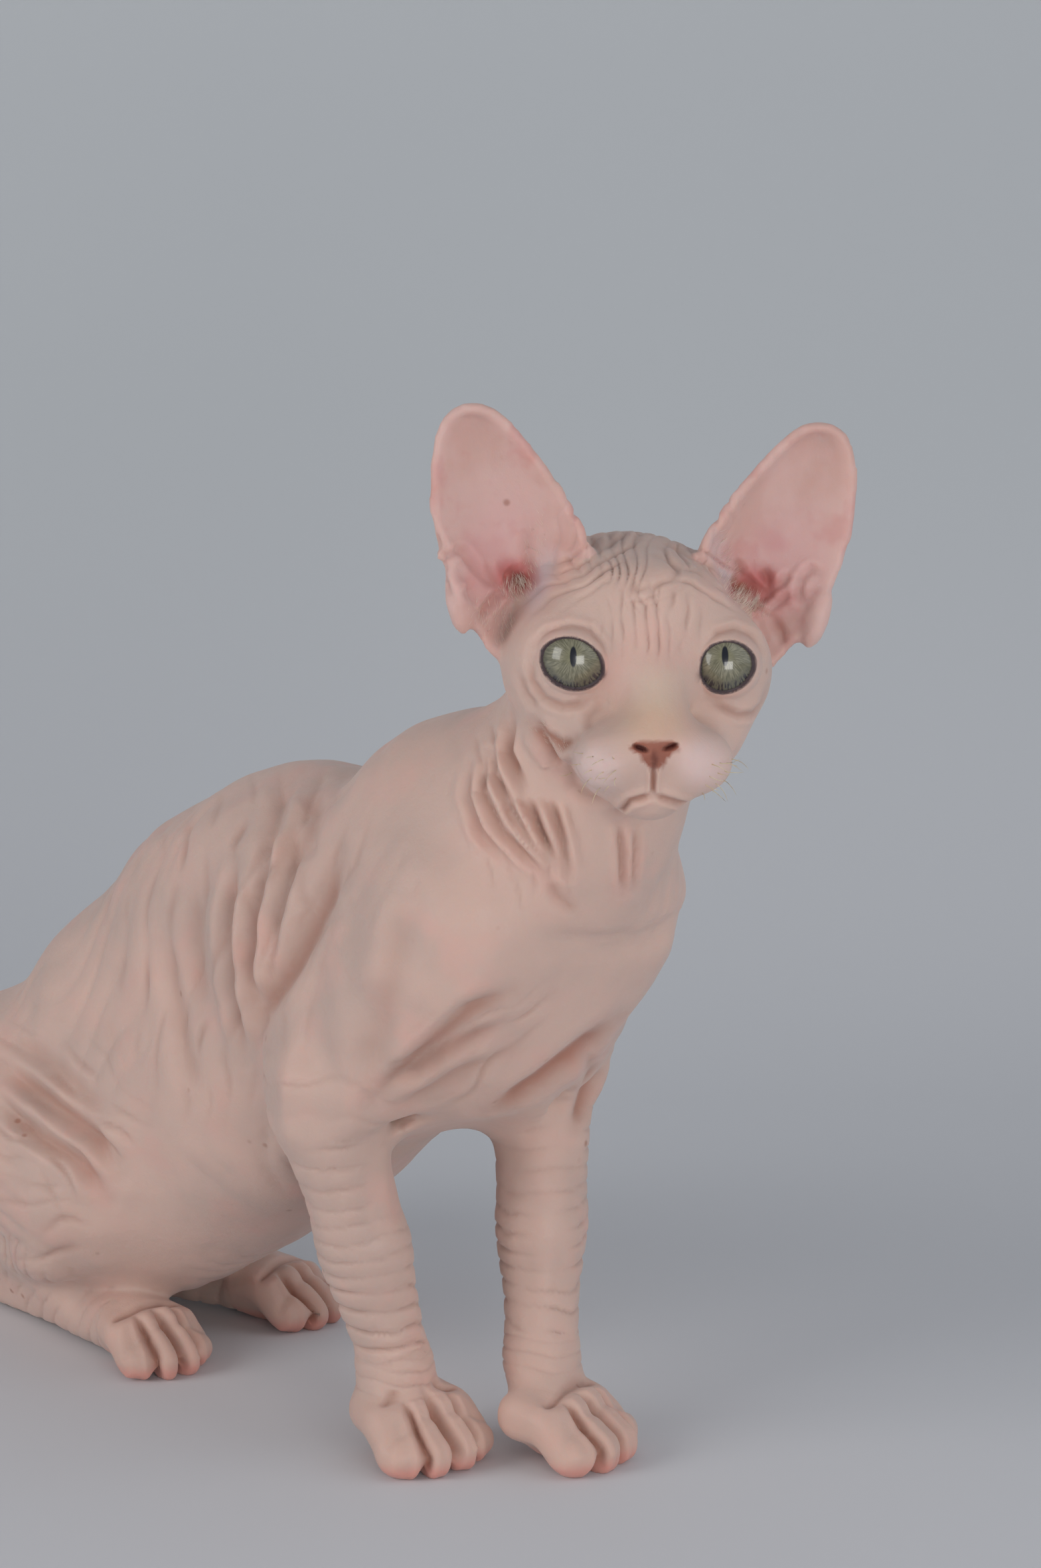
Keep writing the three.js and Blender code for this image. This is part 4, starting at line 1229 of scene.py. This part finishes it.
class Nodes:
    """A short way to write a material's nodes."""

    def __init__(self, name: str) -> None:
        """Starts a material with one principled shader.

        Args:
            name: The material's name.
        """
        self.result = bpy.data.materials.new(name)
        self.result.use_nodes = True
        self.tree = self.result.node_tree
        self.tree.nodes.clear()
        self.shader = self.add("ShaderNodeBsdfPrincipled")
        self.out = self.add("ShaderNodeOutputMaterial")
        self.link(self.shader.outputs[0], self.out.inputs["Surface"])
        self.space = self.add("ShaderNodeTexCoord").outputs["Object"]

    def add(self, kind: str, **values: object) -> bpy.types.Node:
        """Adds a node.

        Args:
            kind: The node's type.
            values: Its settings.

        Returns:
            The node.
        """
        node = self.tree.nodes.new(kind)
        for name, value in values.items():
            setattr(node, name, value)
        return node

    def link(self, start: bpy.types.NodeSocket, end: bpy.types.NodeSocket) -> None:
        """Joins two sockets."""
        self.tree.links.new(start, end)

    def attribute(self, name: str) -> bpy.types.NodeSocket:
        """The value that the mesh keeps under a name."""
        return self.add("ShaderNodeAttribute", attribute_name=name).outputs["Fac"]

    def noise(self, scale: float, detail: float = 3.0, rough: float = 0.55) -> bpy.types.NodeSocket:
        """A cloudy pattern.

        Args:
            scale: Swells to a metre.
            detail: How many finer layers it has.
            rough: How strong those are.

        Returns:
            Its value.
        """
        node = self.add("ShaderNodeTexNoise")
        node.inputs["Scale"].default_value = scale
        node.inputs["Detail"].default_value = detail
        node.inputs["Roughness"].default_value = rough
        self.link(self.space, node.inputs["Vector"])
        return node.outputs["Fac"]

    def ramp(
        self, value: bpy.types.NodeSocket, low: float, high: float, top: float = 1.0
    ) -> bpy.types.NodeSocket:
        """Spreads part of a value's range.

        Args:
            value: The value.
            low: What becomes nought.
            high: What becomes the top.
            top: The most that comes out.

        Returns:
            The new value.
        """
        node = self.add("ShaderNodeMapRange", interpolation_type="SMOOTHSTEP")
        for name, number in (("From Min", low), ("From Max", high), ("To Min", 0.0), ("To Max", top)):
            node.inputs[name].default_value = number
        self.link(value, node.inputs["Value"])
        return node.outputs["Result"]

    def math(
        self, kind: str, first: bpy.types.NodeSocket, second: bpy.types.NodeSocket | float
    ) -> bpy.types.NodeSocket:
        """Works with two values.

        Args:
            kind: What is done.
            first: The first value.
            second: The second value, or a plain number.

        Returns:
            The new value.
        """
        node = self.add("ShaderNodeMath", operation=kind)
        self.link(first, node.inputs[0])
        if isinstance(second, (int, float)):
            node.inputs[1].default_value = second
        else:
            self.link(second, node.inputs[1])
        return node.outputs[0]

    def mix(
        self,
        share: bpy.types.NodeSocket,
        base: bpy.types.NodeSocket | tuple[float, ...],
        top: bpy.types.NodeSocket | tuple[float, ...],
    ) -> bpy.types.NodeSocket:
        """Lays one colour over another.

        Args:
            share: How much of the top colour shows.
            base: The lower colour.
            top: The upper colour.

        Returns:
            The mixed colour.
        """
        node = self.add("ShaderNodeMix", data_type="RGBA")
        self.link(share, node.inputs["Factor"])
        for socket, colour in ((node.inputs[6], base), (node.inputs[7], top)):
            if isinstance(colour, tuple):
                socket.default_value = colour
            else:
                self.link(colour, socket)
        return node.outputs[2]

    def bump(self, value: bpy.types.NodeSocket, strength: float, depth: float) -> None:
        """Raises the surface by a value.

        Args:
            value: The height, from nought to one.
            strength: How much of it shows.
            depth: What one stands for, in millimetres.
        """
        node = self.add("ShaderNodeBump")
        node.inputs["Strength"].default_value = strength
        node.inputs["Distance"].default_value = depth * MM
        self.link(value, node.inputs["Height"])
        self.link(node.outputs["Normal"], self.shader.inputs["Normal"])

    def set(self, **values: object) -> None:
        """Sets the shader's own sockets, with an underscore for each space."""
        for name, value in values.items():
            self.shader.inputs[name.replace("_", " ")].default_value = value


Layer = tuple[str, tuple[int, int, int], float]


@dataclass(frozen=True)
class SkinFinish:
    """Bare pink skin with a little of the light going through it."""

    base: tuple[int, int, int] = (214, 182, 169)
    grey: tuple[int, int, int] = (192, 168, 158)
    flush: tuple[int, int, int] = (218, 176, 164)
    roughness: float = 0.58
    under: tuple[Layer, ...] = (
        ("ear_skin", (212, 172, 163), 0.8),
        ("bridge_tan", (206, 172, 146), 0.65),
        ("bridge", (216, 194, 173), 0.5),
        ("pad", (218, 194, 190), 0.8),
        ("lilac", (196, 184, 190), 0.7),
        ("ear_pink", (214, 156, 158), 0.62),
    )
    ear_clouds: tuple[tuple[float, float, float, float, tuple[int, int, int]], ...] = (
        (48.0, 0.46, 0.62, 0.5, (222, 190, 184)),
        (75.0, 0.52, 0.66, 0.4, (204, 140, 136)),
    )
    # In these layers the crease, ear canal and nostril colours are painted shade in creases and hollows; the
    # rim colour is the lids' own dark margin, and painted shade on the skin under the eyeballs.
    over: tuple[Layer, ...] = (
        ("ear_red", (194, 108, 106), 0.8),
        ("canal_shade", (146, 54, 50), 0.9),
        ("toe", (206, 166, 150), 0.3),
        ("sole", (220, 146, 134), 0.7),
        ("crease", (160, 96, 72), 0.75),
        ("leather", (154, 92, 74), 0.95),
        ("nostril_shade", (78, 26, 20), 1.0),
        ("rim", (52, 38, 46), 0.96),
    )

    @staticmethod
    def lay(nodes: Nodes, colour: bpy.types.NodeSocket, layers: tuple[Layer, ...]) -> bpy.types.NodeSocket:
        """Lays colours over the skin where its attributes say.

        Args:
            nodes: The material's nodes.
            colour: The colour underneath.
            layers: Each attribute with its colour and the most of it that shows.

        Returns:
            The colour on top.
        """
        for name, tone, most in layers:
            share = nodes.math("MULTIPLY", nodes.attribute(name), most)
            colour = nodes.mix(share, colour, linear(*tone))
        return colour

    def material(self) -> bpy.types.Material:
        """The skin's material."""
        nodes = Nodes("bare_skin")
        colour = nodes.mix(
            nodes.ramp(nodes.noise(26.0, 3.0), 0.36, 0.7, 0.65), linear(*self.base), linear(*self.grey)
        )
        colour = nodes.mix(nodes.ramp(nodes.noise(60.0, 3.0), 0.48, 0.72, 0.6), colour, linear(*self.flush))
        colour = self.lay(nodes, colour, self.under)
        for scale, low, high, most, tone in self.ear_clouds:
            cloud = nodes.ramp(nodes.noise(scale), low, high, most)
            share = nodes.math("MULTIPLY", nodes.attribute("ear_skin"), cloud)
            colour = nodes.mix(share, colour, linear(*tone))
        colour = self.lay(nodes, colour, self.over)
        fleck = nodes.add("ShaderNodeTexVoronoi")
        fleck.inputs["Scale"].default_value = 110.0
        nodes.link(nodes.space, fleck.inputs["Vector"])
        dots = nodes.ramp(fleck.outputs["Distance"], 0.14, 0.04)
        rare = nodes.ramp(nodes.noise(35.0, 1.0), 0.58, 0.66, 0.55)
        colour = nodes.mix(nodes.math("MULTIPLY", dots, rare), colour, linear(150, 88, 62))
        nodes.link(colour, nodes.shader.inputs["Base Color"])
        rough = nodes.ramp(nodes.noise(180.0, 4.0), 0.3, 0.75, 0.2)
        nodes.link(nodes.math("ADD", rough, self.roughness - 0.1), nodes.shader.inputs["Roughness"])
        pores = nodes.math("MULTIPLY", nodes.noise(1500.0, 2.0), 0.35)
        lines = nodes.noise(420.0, 4.0, 0.6)
        nodes.bump(nodes.math("ADD", pores, lines), 0.5, 0.28)
        nodes.set(
            Subsurface_Weight=0.35, Subsurface_Radius=(1.0, 0.36, 0.22), Subsurface_Scale=0.0035,
            Specular_IOR_Level=0.32, Sheen_Weight=0.12, Sheen_Roughness=0.5,
        )
        return nodes.result


@dataclass(frozen=True)
class IrisFinish:
    """A grey-green iris with a slit pupil under a clear wet front."""

    pupil_half_width: float = 0.75
    pupil_half_height: float = 2.3
    edge: float = 8.5

    def material(self) -> bpy.types.Material:
        """The eye's material."""
        nodes = Nodes("wet_eye")
        plan = nodes.add("ShaderNodeUVMap", uv_map="gaze").outputs["UV"]
        centred = nodes.add("ShaderNodeVectorMath", operation="SUBTRACT")
        nodes.link(plan, centred.inputs[0])
        centred.inputs[1].default_value = (0.5, 0.5, 0.0)
        millimetres = nodes.add("ShaderNodeVectorMath", operation="SCALE")
        nodes.link(centred.outputs[0], millimetres.inputs[0])
        millimetres.inputs["Scale"].default_value = EyeBall.map_size
        parts = nodes.add("ShaderNodeSeparateXYZ")
        nodes.link(millimetres.outputs[0], parts.inputs[0])
        across, up = parts.outputs["X"], parts.outputs["Y"]
        away = nodes.add("ShaderNodeVectorMath", operation="LENGTH")
        nodes.link(millimetres.outputs[0], away.inputs[0])
        distance = away.outputs["Value"]
        angle = nodes.math("ARCTAN2", up, across)
        spoke = nodes.add("ShaderNodeCombineXYZ")
        nodes.link(nodes.math("MULTIPLY", angle, 9.0), spoke.inputs["X"])
        nodes.link(nodes.math("MULTIPLY", distance, 0.35), spoke.inputs["Y"])
        fibres = nodes.add("ShaderNodeTexNoise")
        fibres.inputs["Scale"].default_value = 1.6
        fibres.inputs["Detail"].default_value = 4.0
        nodes.link(spoke.outputs[0], fibres.inputs["Vector"])
        colour = nodes.mix(
            nodes.ramp(fibres.outputs["Fac"], 0.35, 0.68), linear(100, 98, 78), linear(142, 137, 114)
        )
        colour = nodes.mix(nodes.ramp(distance, 2.6, 0.6, 0.5), colour, linear(134, 131, 98))
        colour = nodes.mix(nodes.ramp(distance, 4.6, self.edge - 0.7, 0.7), colour, linear(88, 88, 76))
        # Dark blotches low on the iris: a painted reflection of dark surroundings in the cornea.
        low = nodes.math("MULTIPLY", nodes.ramp(distance, 4.7, 6.4), nodes.ramp(up, -1.2, -3.0))
        spots = nodes.math("MULTIPLY", low, nodes.ramp(fibres.outputs["Fac"], 0.44, 0.58))
        colour = nodes.mix(spots, colour, linear(48, 44, 48))
        colour = nodes.mix(nodes.ramp(distance, self.edge - 0.9, self.edge - 0.1), colour, linear(22, 22, 30))
        wide = nodes.math("DIVIDE", across, self.pupil_half_width)
        tall = nodes.math("DIVIDE", up, self.pupil_half_height)
        squares = nodes.math("ADD", nodes.math("MULTIPLY", wide, wide), nodes.math("MULTIPLY", tall, tall))
        slit = nodes.math("SQRT", squares, 0.5)
        colour = nodes.mix(nodes.ramp(slit, 1.15, 0.88), colour, linear(10, 12, 26))
        nodes.link(colour, nodes.shader.inputs["Base Color"])
        nodes.set(
            Roughness=0.28, Specular_IOR_Level=0.5, Coat_Weight=1.0, Coat_Roughness=0.015, Coat_IOR=1.45
        )
        return nodes.result


@dataclass(frozen=True)
class HornFinish:
    """Pale horn with darker patches."""

    def material(self) -> bpy.types.Material:
        """The claws' material."""
        nodes = Nodes("claw_horn")
        patchy = nodes.ramp(nodes.noise(240.0), 0.35, 0.7)
        colour = nodes.mix(patchy, linear(226, 208, 188), linear(198, 166, 142))
        nodes.link(colour, nodes.shader.inputs["Base Color"])
        nodes.bump(nodes.noise(900.0), 0.25, 0.1)
        nodes.set(Roughness=0.38, Subsurface_Weight=0.2, Subsurface_Scale=0.001)
        return nodes.result


@dataclass(frozen=True)
class HairFinish:
    """Fine hair in one pale colour."""

    name: str
    tone: tuple[int, int, int]
    dark: tuple[int, int, int]

    def material(self) -> bpy.types.Material:
        """The hair's material."""
        nodes = Nodes(self.name)
        colour = nodes.mix(nodes.ramp(nodes.noise(500.0), 0.35, 0.65), linear(*self.tone), linear(*self.dark))
        nodes.link(colour, nodes.shader.inputs["Base Color"])
        nodes.set(Roughness=0.6, Specular_IOR_Level=0.3)
        return nodes.result


@dataclass
class EyeBall:
    """A glossy eyeball that looks at the camera."""

    shape: EyeShape
    shot: Shot
    cornea: float = 0.32
    map_size = 20.0

    def build(self) -> bpy.types.Object:
        """Makes the eyeball and its map.

        Returns:
            The finished eyeball.
        """
        side = self.shape.side
        centre = eye_centre(side)
        gaze, right, up = self.looking()
        turned = Matrix([right, up, gaze]).transposed()
        deselect()
        bpy.ops.mesh.primitive_uv_sphere_add(
            segments=72, ring_count=48, radius=self.shape.radius * MM,
            location=Vector(centre * MM), rotation=turned.to_euler(),
        )
        ball = bpy.context.active_object
        ball.name = f"eyeball_{side}"
        bpy.ops.object.transform_apply(location=True, rotation=True, scale=True)
        mesh = ball.data
        points = places(mesh)
        rel = points - centre
        facing = rel @ gaze / self.shape.radius
        points += (rel / self.shape.radius) * (self.cornea * soft_step(facing, 0.72, 1.0))[:, None]
        put_places(mesh, points)
        while mesh.uv_layers:
            mesh.uv_layers.remove(mesh.uv_layers[0])
        plan = mesh.uv_layers.new(name="gaze")
        rel = places(mesh) - centre
        for loop in mesh.loops:
            spot = rel[loop.vertex_index]
            if spot @ gaze < 0:
                spot = spot / np.linalg.norm(spot) * self.shape.radius * 1.05
            plan.data[loop.index].uv = (0.5 + spot @ right / self.map_size, 0.5 + spot @ up / self.map_size)
        activate(ball)
        bpy.ops.object.shade_smooth()
        mesh.materials.append(IrisFinish().material())
        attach(ball, "root")
        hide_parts(f"eye_{side}")
        LOG.info("eyeball %s", side)
        return ball

    def looking(self) -> tuple[np.ndarray, np.ndarray, np.ndarray]:
        """Directions of the gaze, and of the picture's right and up across it."""
        gaze, right, up = self.shape.axes(self.shot)
        flat = self.shape.flat(self.shape.pupil, self.shot)
        depth = math.sqrt(max(self.shape.radius**2 - float(flat @ flat), 1.0))
        aim = right * flat[0] + up * flat[1] + gaze * depth
        aim /= np.linalg.norm(aim)
        right = np.cross(up, aim)
        right /= np.linalg.norm(right)
        return aim, right, np.cross(aim, right)


@dataclass
class Claws:
    """The small horn claws at the ends of the toes."""

    levels: int = 2

    def build(self) -> None:
        """Rounds off each CAD claw."""
        finish = HornFinish().material()
        names = [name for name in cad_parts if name.startswith("claw_")]
        for name in names:
            claw = joined_copy([name], f"{name}_horn", 0.06)
            activate(claw)
            tool = claw.modifiers.new("round", "SUBSURF")
            tool.levels = tool.render_levels = self.levels
            bpy.ops.object.modifier_apply(modifier=tool.name)
            bpy.ops.object.shade_smooth()
            claw.data.materials.append(finish)
            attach(claw, "root")
            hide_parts(name)
        LOG.info("claws: %d", len(names))


@dataclass
class HairMap:
    """A flat map of the skin's own shape, on which each hair has its spot."""

    skin: bpy.types.Object
    faces: int = 5000
    patch: float = 0.003

    def __post_init__(self) -> None:
        """Unwraps a light copy of the skin."""
        copy = bpy.data.objects.new("hair_map", self.skin.data.copy())
        bpy.context.scene.collection.objects.link(copy)
        activate(copy)
        tool = copy.modifiers.new("thin", "DECIMATE")
        tool.ratio = self.faces / max(len(copy.data.polygons), 1)
        bpy.ops.object.modifier_apply(modifier=tool.name)
        bpy.ops.object.mode_set(mode="EDIT")
        bpy.ops.mesh.select_all(action="SELECT")
        bpy.ops.uv.smart_project(angle_limit=math.radians(66), island_margin=0.002)
        bpy.ops.object.mode_set(mode="OBJECT")
        mesh = copy.data
        layer = mesh.uv_layers.active.data
        self.spots = [
            sum((layer[index].uv for index in face.loop_indices), Vector((0, 0))) / face.loop_total
            for face in mesh.polygons
        ]
        corners = [Vector(tuple(vertex.co)) for vertex in mesh.vertices]
        self.tree = BVHTree.FromPolygons(corners, [tuple(face.vertices) for face in mesh.polygons])
        bpy.data.objects.remove(copy)
        bpy.data.meshes.remove(mesh)

    def spot(self, root: Vector) -> Vector:
        """The place on the map of a hair's root."""
        return self.spots[self.tree.find_nearest(root)[2]]


@dataclass
class Hair:
    """Solid little hairs, each a tapered three-sided tuft on the skin."""

    name: str
    plan: HairMap
    finish: HairFinish
    points: list[Vector] = field(default_factory=list)
    faces: list[tuple[int, ...]] = field(default_factory=list)
    spots: list[tuple[float, float]] = field(default_factory=list)

    def tuft(self, path: list[Vector], radius: float) -> None:
        """Adds one hair along a path.

        Args:
            path: Points from root to tip, in metres.
            radius: The root's radius in metres.
        """
        spot = self.plan.spot(path[0])
        start = len(self.points)
        count = len(path)
        for index, place in enumerate(path[:-1]):
            way = (path[index + 1] - place).normalized()
            side = way.orthogonal().normalized()
            other = way.cross(side)
            wide = radius * (1.0 - 0.8 * index / count)
            for turn in range(3):
                angle = turn * 2 * math.pi / 3
                self.points.append(place + (side * math.cos(angle) + other * math.sin(angle)) * wide)
        self.points.append(path[-1])
        tip = len(self.points) - 1
        self.faces.append((start + 2, start + 1, start))
        for index in range(count - 2):
            row = start + index * 3
            for turn in range(3):
                after = (turn + 1) % 3
                self.faces.append((row + turn, row + after, row + 3 + after, row + 3 + turn))
        row = start + (count - 2) * 3
        for turn in range(3):
            self.faces.append((row + turn, row + (turn + 1) % 3, tip))
        half = self.plan.patch / 2
        for index in range(tip - start + 1):
            angle = index * 2.4
            self.spots.append((spot.x + half * math.cos(angle), spot.y + half * math.sin(angle)))

    def finish_piece(self) -> bpy.types.Object:
        """Turns the hairs into one object on the body.

        Returns:
            The finished piece.
        """
        mesh = bpy.data.meshes.new(self.name)
        mesh.from_pydata([tuple(point) for point in self.points], [], self.faces)
        layer = mesh.uv_layers.new(name="OFBake")
        for loop in mesh.loops:
            layer.data[loop.index].uv = self.spots[loop.vertex_index]
        mesh.materials.append(self.finish.material())
        piece = bpy.data.objects.new(self.name, mesh)
        bpy.context.scene.collection.objects.link(piece)
        activate(piece)
        bpy.ops.object.shade_smooth()
        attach(piece, "root")
        LOG.info("%s: %d faces", self.name, len(self.faces))
        return piece


DOWN_PATCHES = (
    (Patch((780, 890), (26, 17), -20), 1.0),
    (Patch((745, 935), (30, 40), -50), 0.35),
    (Patch((805, 840), (16, 60), 14), 0.35),
    (Patch((1128, 912), (32, 12), 35), 1.0),
    (Patch((1092, 850), (12, 50), -14), 0.3),
    (Patch((830, 1110), (36, 14), 40), 0.25),
)


@dataclass
class Bristles:
    """The broken curly whiskers on the pads, and the pale down at the ears."""

    skin: bpy.types.Object
    shot: Shot
    head: HeadFrame
    whiskers_each_side: int = 14
    whisker_rows: int = 4
    whisker_bends: int = 6
    whisker_radius: float = 0.00011
    down_count: int = 900
    down_bends: int = 4
    down_radius: float = 0.00003

    def build(self) -> None:
        """Grows the whiskers and the down."""
        mesh = self.skin.data
        plan = HairMap(self.skin)
        tree = BVHTree.FromObject(self.skin, bpy.context.evaluated_depsgraph_get())
        self.whiskers(plan, tree)
        self.down(plan, mesh)

    def whiskers(self, plan: HairMap, tree: BVHTree) -> None:
        """Sets short bent stubs in the pads.

        Args:
            plan: The map of the skin.
            tree: The skin, for finding where a stub stands.
        """
        draw = random.Random(5)
        hair = Hair("whiskers", plan, HairFinish("whisker_hair", (226, 212, 178), (206, 180, 140)))
        axes = [Vector(axis) for axis in self.head.axes]
        origin = Vector(self.head.origin)
        for sign in (-1, 1):
            for number in range(self.whiskers_each_side):
                row, column = number % self.whisker_rows, number // self.whisker_rows
                across = sign * (10.5 + 2.3 * column + draw.uniform(-0.6, 0.6))
                level = -19.5 - 2.3 * row + draw.uniform(-0.6, 0.6)
                start = (origin + axes[0] * across - axes[1] * 40 + axes[2] * level) * MM
                hit, normal, _, _ = tree.ray_cast(start, axes[1])
                if hit is None:
                    continue
                way = (normal * 0.7 + axes[0] * sign * 0.8 - axes[2] * 0.25).normalized()
                bend = Vector((draw.uniform(-1, 1), draw.uniform(-1, 1), draw.uniform(-1, 1)))
                bend = bend.cross(way).normalized() * draw.uniform(0.15, 0.6)
                length = draw.uniform(2.0, 5.5) * MM
                path = [hit - normal * 0.0003]
                for _ in range(self.whisker_bends):
                    path.append(path[-1] + way * length / self.whisker_bends)
                    way = (way + bend * 0.5 + Vector((0, 0, draw.uniform(-0.15, 0.1)))).normalized()
                hair.tuft(path, self.whisker_radius)
        hair.finish_piece()

    def down(self, plan: HairMap, mesh: bpy.types.Mesh) -> None:
        """Lays fine pale down in front of the ears and along their lower edges.

        Args:
            plan: The map of the skin.
            mesh: The skin's mesh.
        """
        draw = random.Random(8)
        hair = Hair("ear_down", plan, HairFinish("down_hair", (244, 234, 222), (232, 212, 194)))
        points = places(mesh)
        face = outward(mesh)
        pixels, _ = self.shot.project(points)
        local = self.head.local(points)
        seen = np.sum(face * (self.shot.place - points), axis=1) > 0
        share = np.zeros(len(points))
        for patch, amount in DOWN_PATCHES:
            share = np.maximum(share, amount * patch.share(pixels, 0.4))
        share *= seen * (np.abs(local[:, 0]) < 45) * (local[:, 1] < 30)
        chosen = np.flatnonzero(share > 0.02)
        weights = share[chosen] / share[chosen].sum()
        picks = np.random.default_rng(3).choice(chosen, size=self.down_count, p=weights)
        crown = Vector(self.head.axes[2])
        for pick in picks:
            root = Vector(points[pick] * MM)
            normal = Vector(face[pick])
            outer = Vector(self.head.axes[0]) * (1 if local[pick, 0] > 0 else -1)
            way = (normal * 0.55 + outer * 0.2 + crown * 0.5).normalized()
            way = (way + Vector([draw.uniform(-0.25, 0.25) for _ in range(3)])).normalized()
            length = draw.uniform(1.6, 3.6) * MM * (0.6 + 0.6 * float(share[pick]))
            path = [root - normal * 0.0002]
            for _ in range(self.down_bends):
                path.append(path[-1] + way * length / self.down_bends)
                way = (way + crown * 0.06 - normal * 0.1).normalized()
            hair.tuft(path, self.down_radius)
        hair.finish_piece()


@dataclass(frozen=True)
class Lamp:
    """One soft square light.

    Its place is in metres from the kitten: to the picture's right, away from the camera, and up. Its
    size is its side in metres, and its power is in watts.
    """

    place: tuple[float, float, float]
    size: float
    power: float
    colour: tuple[float, float, float]


class Lamps(Enum):
    """The studio's lights."""

    WINDOW = Lamp((-1.2, -0.7, 0.5), 0.9, 8.2, (1.0, 0.99, 0.975))
    BOUNCE = Lamp((1.0, -0.3, 0.7), 1.4, 3.2, (0.93, 0.96, 1.0))
    FRONT = Lamp((0.4, -1.1, 0.1), 0.5, 4.2, (1.0, 0.985, 0.965))


@dataclass
class Studio:
    """A plain pale floor that curves up into a grey-blue backdrop, and soft window light."""

    shot: Shot
    floor_depth: float = 1.25
    wall_curve: float = 0.55
    half_width: float = 2.2
    reach_back: float = 1.2
    wall_top: float = 3.0
    curve_steps: int = 12
    room_light: float = 0.32

    def build(self) -> None:
        """Adds the floor, the backdrop and the lights."""
        self.sweep()
        for member in Lamps:
            self.light(member.name.lower(), member.value)
        world = bpy.data.worlds.new("room")
        world.use_nodes = True
        shade = world.node_tree.nodes["Background"]
        shade.inputs["Color"].default_value = linear(216, 222, 230)
        shade.inputs["Strength"].default_value = self.room_light
        bpy.context.scene.world = world
        bpy.context.scene.view_settings.view_transform = "Standard"
        LOG.info("studio")

    def spot(self, ahead: float, aside: float, height: float) -> Vector:
        """A place measured from the camera along the floor.

        Args:
            ahead: Metres in front of the camera.
            aside: Metres to its right.
            height: Metres above the floor.

        Returns:
            The place.
        """
        level = Vector((self.shot.ahead[0], self.shot.ahead[1], 0)).normalized()
        right = Vector(self.shot.right)
        base = Vector(self.shot.place * MM)
        base.z = 0
        return base + level * ahead + right * aside + Vector((0, 0, height))

    def sweep(self) -> None:
        """Makes the floor and backdrop as one curved sheet."""
        profile = [(-self.reach_back, 0.0), (0.0, 0.0), (self.floor_depth, 0.0)]
        for step in range(1, self.curve_steps + 1):
            angle = step / self.curve_steps * math.pi / 2
            ahead = self.floor_depth + self.wall_curve * math.sin(angle)
            profile.append((ahead, self.wall_curve * (1 - math.cos(angle))))
        profile.append((self.floor_depth + self.wall_curve, self.wall_top))
        corners, faces = [], []
        for ahead, height in profile:
            corners.append(self.spot(ahead, -self.half_width, height))
            corners.append(self.spot(ahead, self.half_width, height))
        for index in range(len(profile) - 1):
            start = index * 2
            faces.append((start, start + 1, start + 3, start + 2))
        mesh = bpy.data.meshes.new("floor")
        mesh.from_pydata([tuple(corner) for corner in corners], [], faces)
        mesh.materials.append(self.paper())
        floor = bpy.data.objects.new("floor", mesh)
        bpy.context.scene.collection.objects.link(floor)
        activate(floor)
        bpy.ops.object.shade_smooth()

    def paper(self) -> bpy.types.Material:
        """Pale at the foot, a little greyer where it curves up, painted lighter higher up as painted light
        against the lamps' fall-off, and clear from behind, so that any side can be looked at.
        """
        nodes = Nodes("backdrop_paper")
        height = nodes.add("ShaderNodeSeparateXYZ")
        nodes.link(nodes.space, height.inputs[0])
        colour = nodes.mix(
            nodes.ramp(height.outputs["Z"], 0.0, 0.22), linear(216, 217, 221), linear(208, 211, 214)
        )
        # Lighter from 0.3 m up to 1 m: painted light that makes up for the lamps' fall-off on the upper wall.
        colour = nodes.mix(nodes.ramp(height.outputs["Z"], 0.3, 1.0), colour, linear(240, 241, 241))
        nodes.link(colour, nodes.shader.inputs["Base Color"])
        nodes.bump(nodes.noise(60.0), 0.1, 0.2)
        nodes.set(Roughness=0.85, Specular_IOR_Level=0.2)
        both = nodes.add("ShaderNodeMixShader")
        nodes.link(nodes.add("ShaderNodeNewGeometry").outputs["Backfacing"], both.inputs[0])
        nodes.link(nodes.shader.outputs[0], both.inputs[1])
        nodes.link(nodes.add("ShaderNodeBsdfTransparent").outputs[0], both.inputs[2])
        nodes.link(both.outputs[0], nodes.out.inputs["Surface"])
        return nodes.result

    def light(self, name: str, lamp_plan: Lamp) -> None:
        """Adds one soft light that points at the kitten.

        Args:
            name: The light's name.
            lamp_plan: Where it hangs and how it shines.
        """
        data = bpy.data.lights.new(name, "AREA")
        data.shape = "SQUARE"
        data.size = lamp_plan.size
        data.energy = lamp_plan.power
        data.color = lamp_plan.colour
        lamp = bpy.data.objects.new(name, data)
        middle = Vector((0.0, 0.0, 0.13))
        level = Vector((self.shot.ahead[0], self.shot.ahead[1], 0)).normalized()
        aside, ahead, above = lamp_plan.place
        spot = middle + Vector(self.shot.right) * aside + level * ahead + Vector((0, 0, above))
        lamp.location = spot
        lamp.rotation_euler = (middle - spot).to_track_quat("-Z", "Y").to_euler()
        bpy.context.scene.collection.objects.link(lamp)


def main() -> None:
    """Builds the kitten and its studio."""
    logging.basicConfig(level=logging.INFO, format="%(message)s")
    shot = Shot()
    shot.build()
    head = HeadFrame()
    eyes = [
        EyeShape("right", opening=(861.0, 998.5), pupil=(863.5, 989.0), half_width=6.75),
        EyeShape("left", opening=(1092.5, 1004.0), pupil=(1092.0, 988.0), half_width=6.1),
    ]
    for eye in eyes:
        pixels, _ = shot.project(eye_centre(eye.side)[None, :])
        LOG.info("eye %s middle at pixel %.0f, %.0f", eye.side, pixels[0, 0], pixels[0, 1])
    skin = Skin(shot, head, eyes).build()
    for eye in eyes:
        EyeBall(eye, shot).build()
    Claws().build()
    Bristles(skin, shot, head).build()
    Studio(shot).build()


if __name__ == "__main__":
    main()
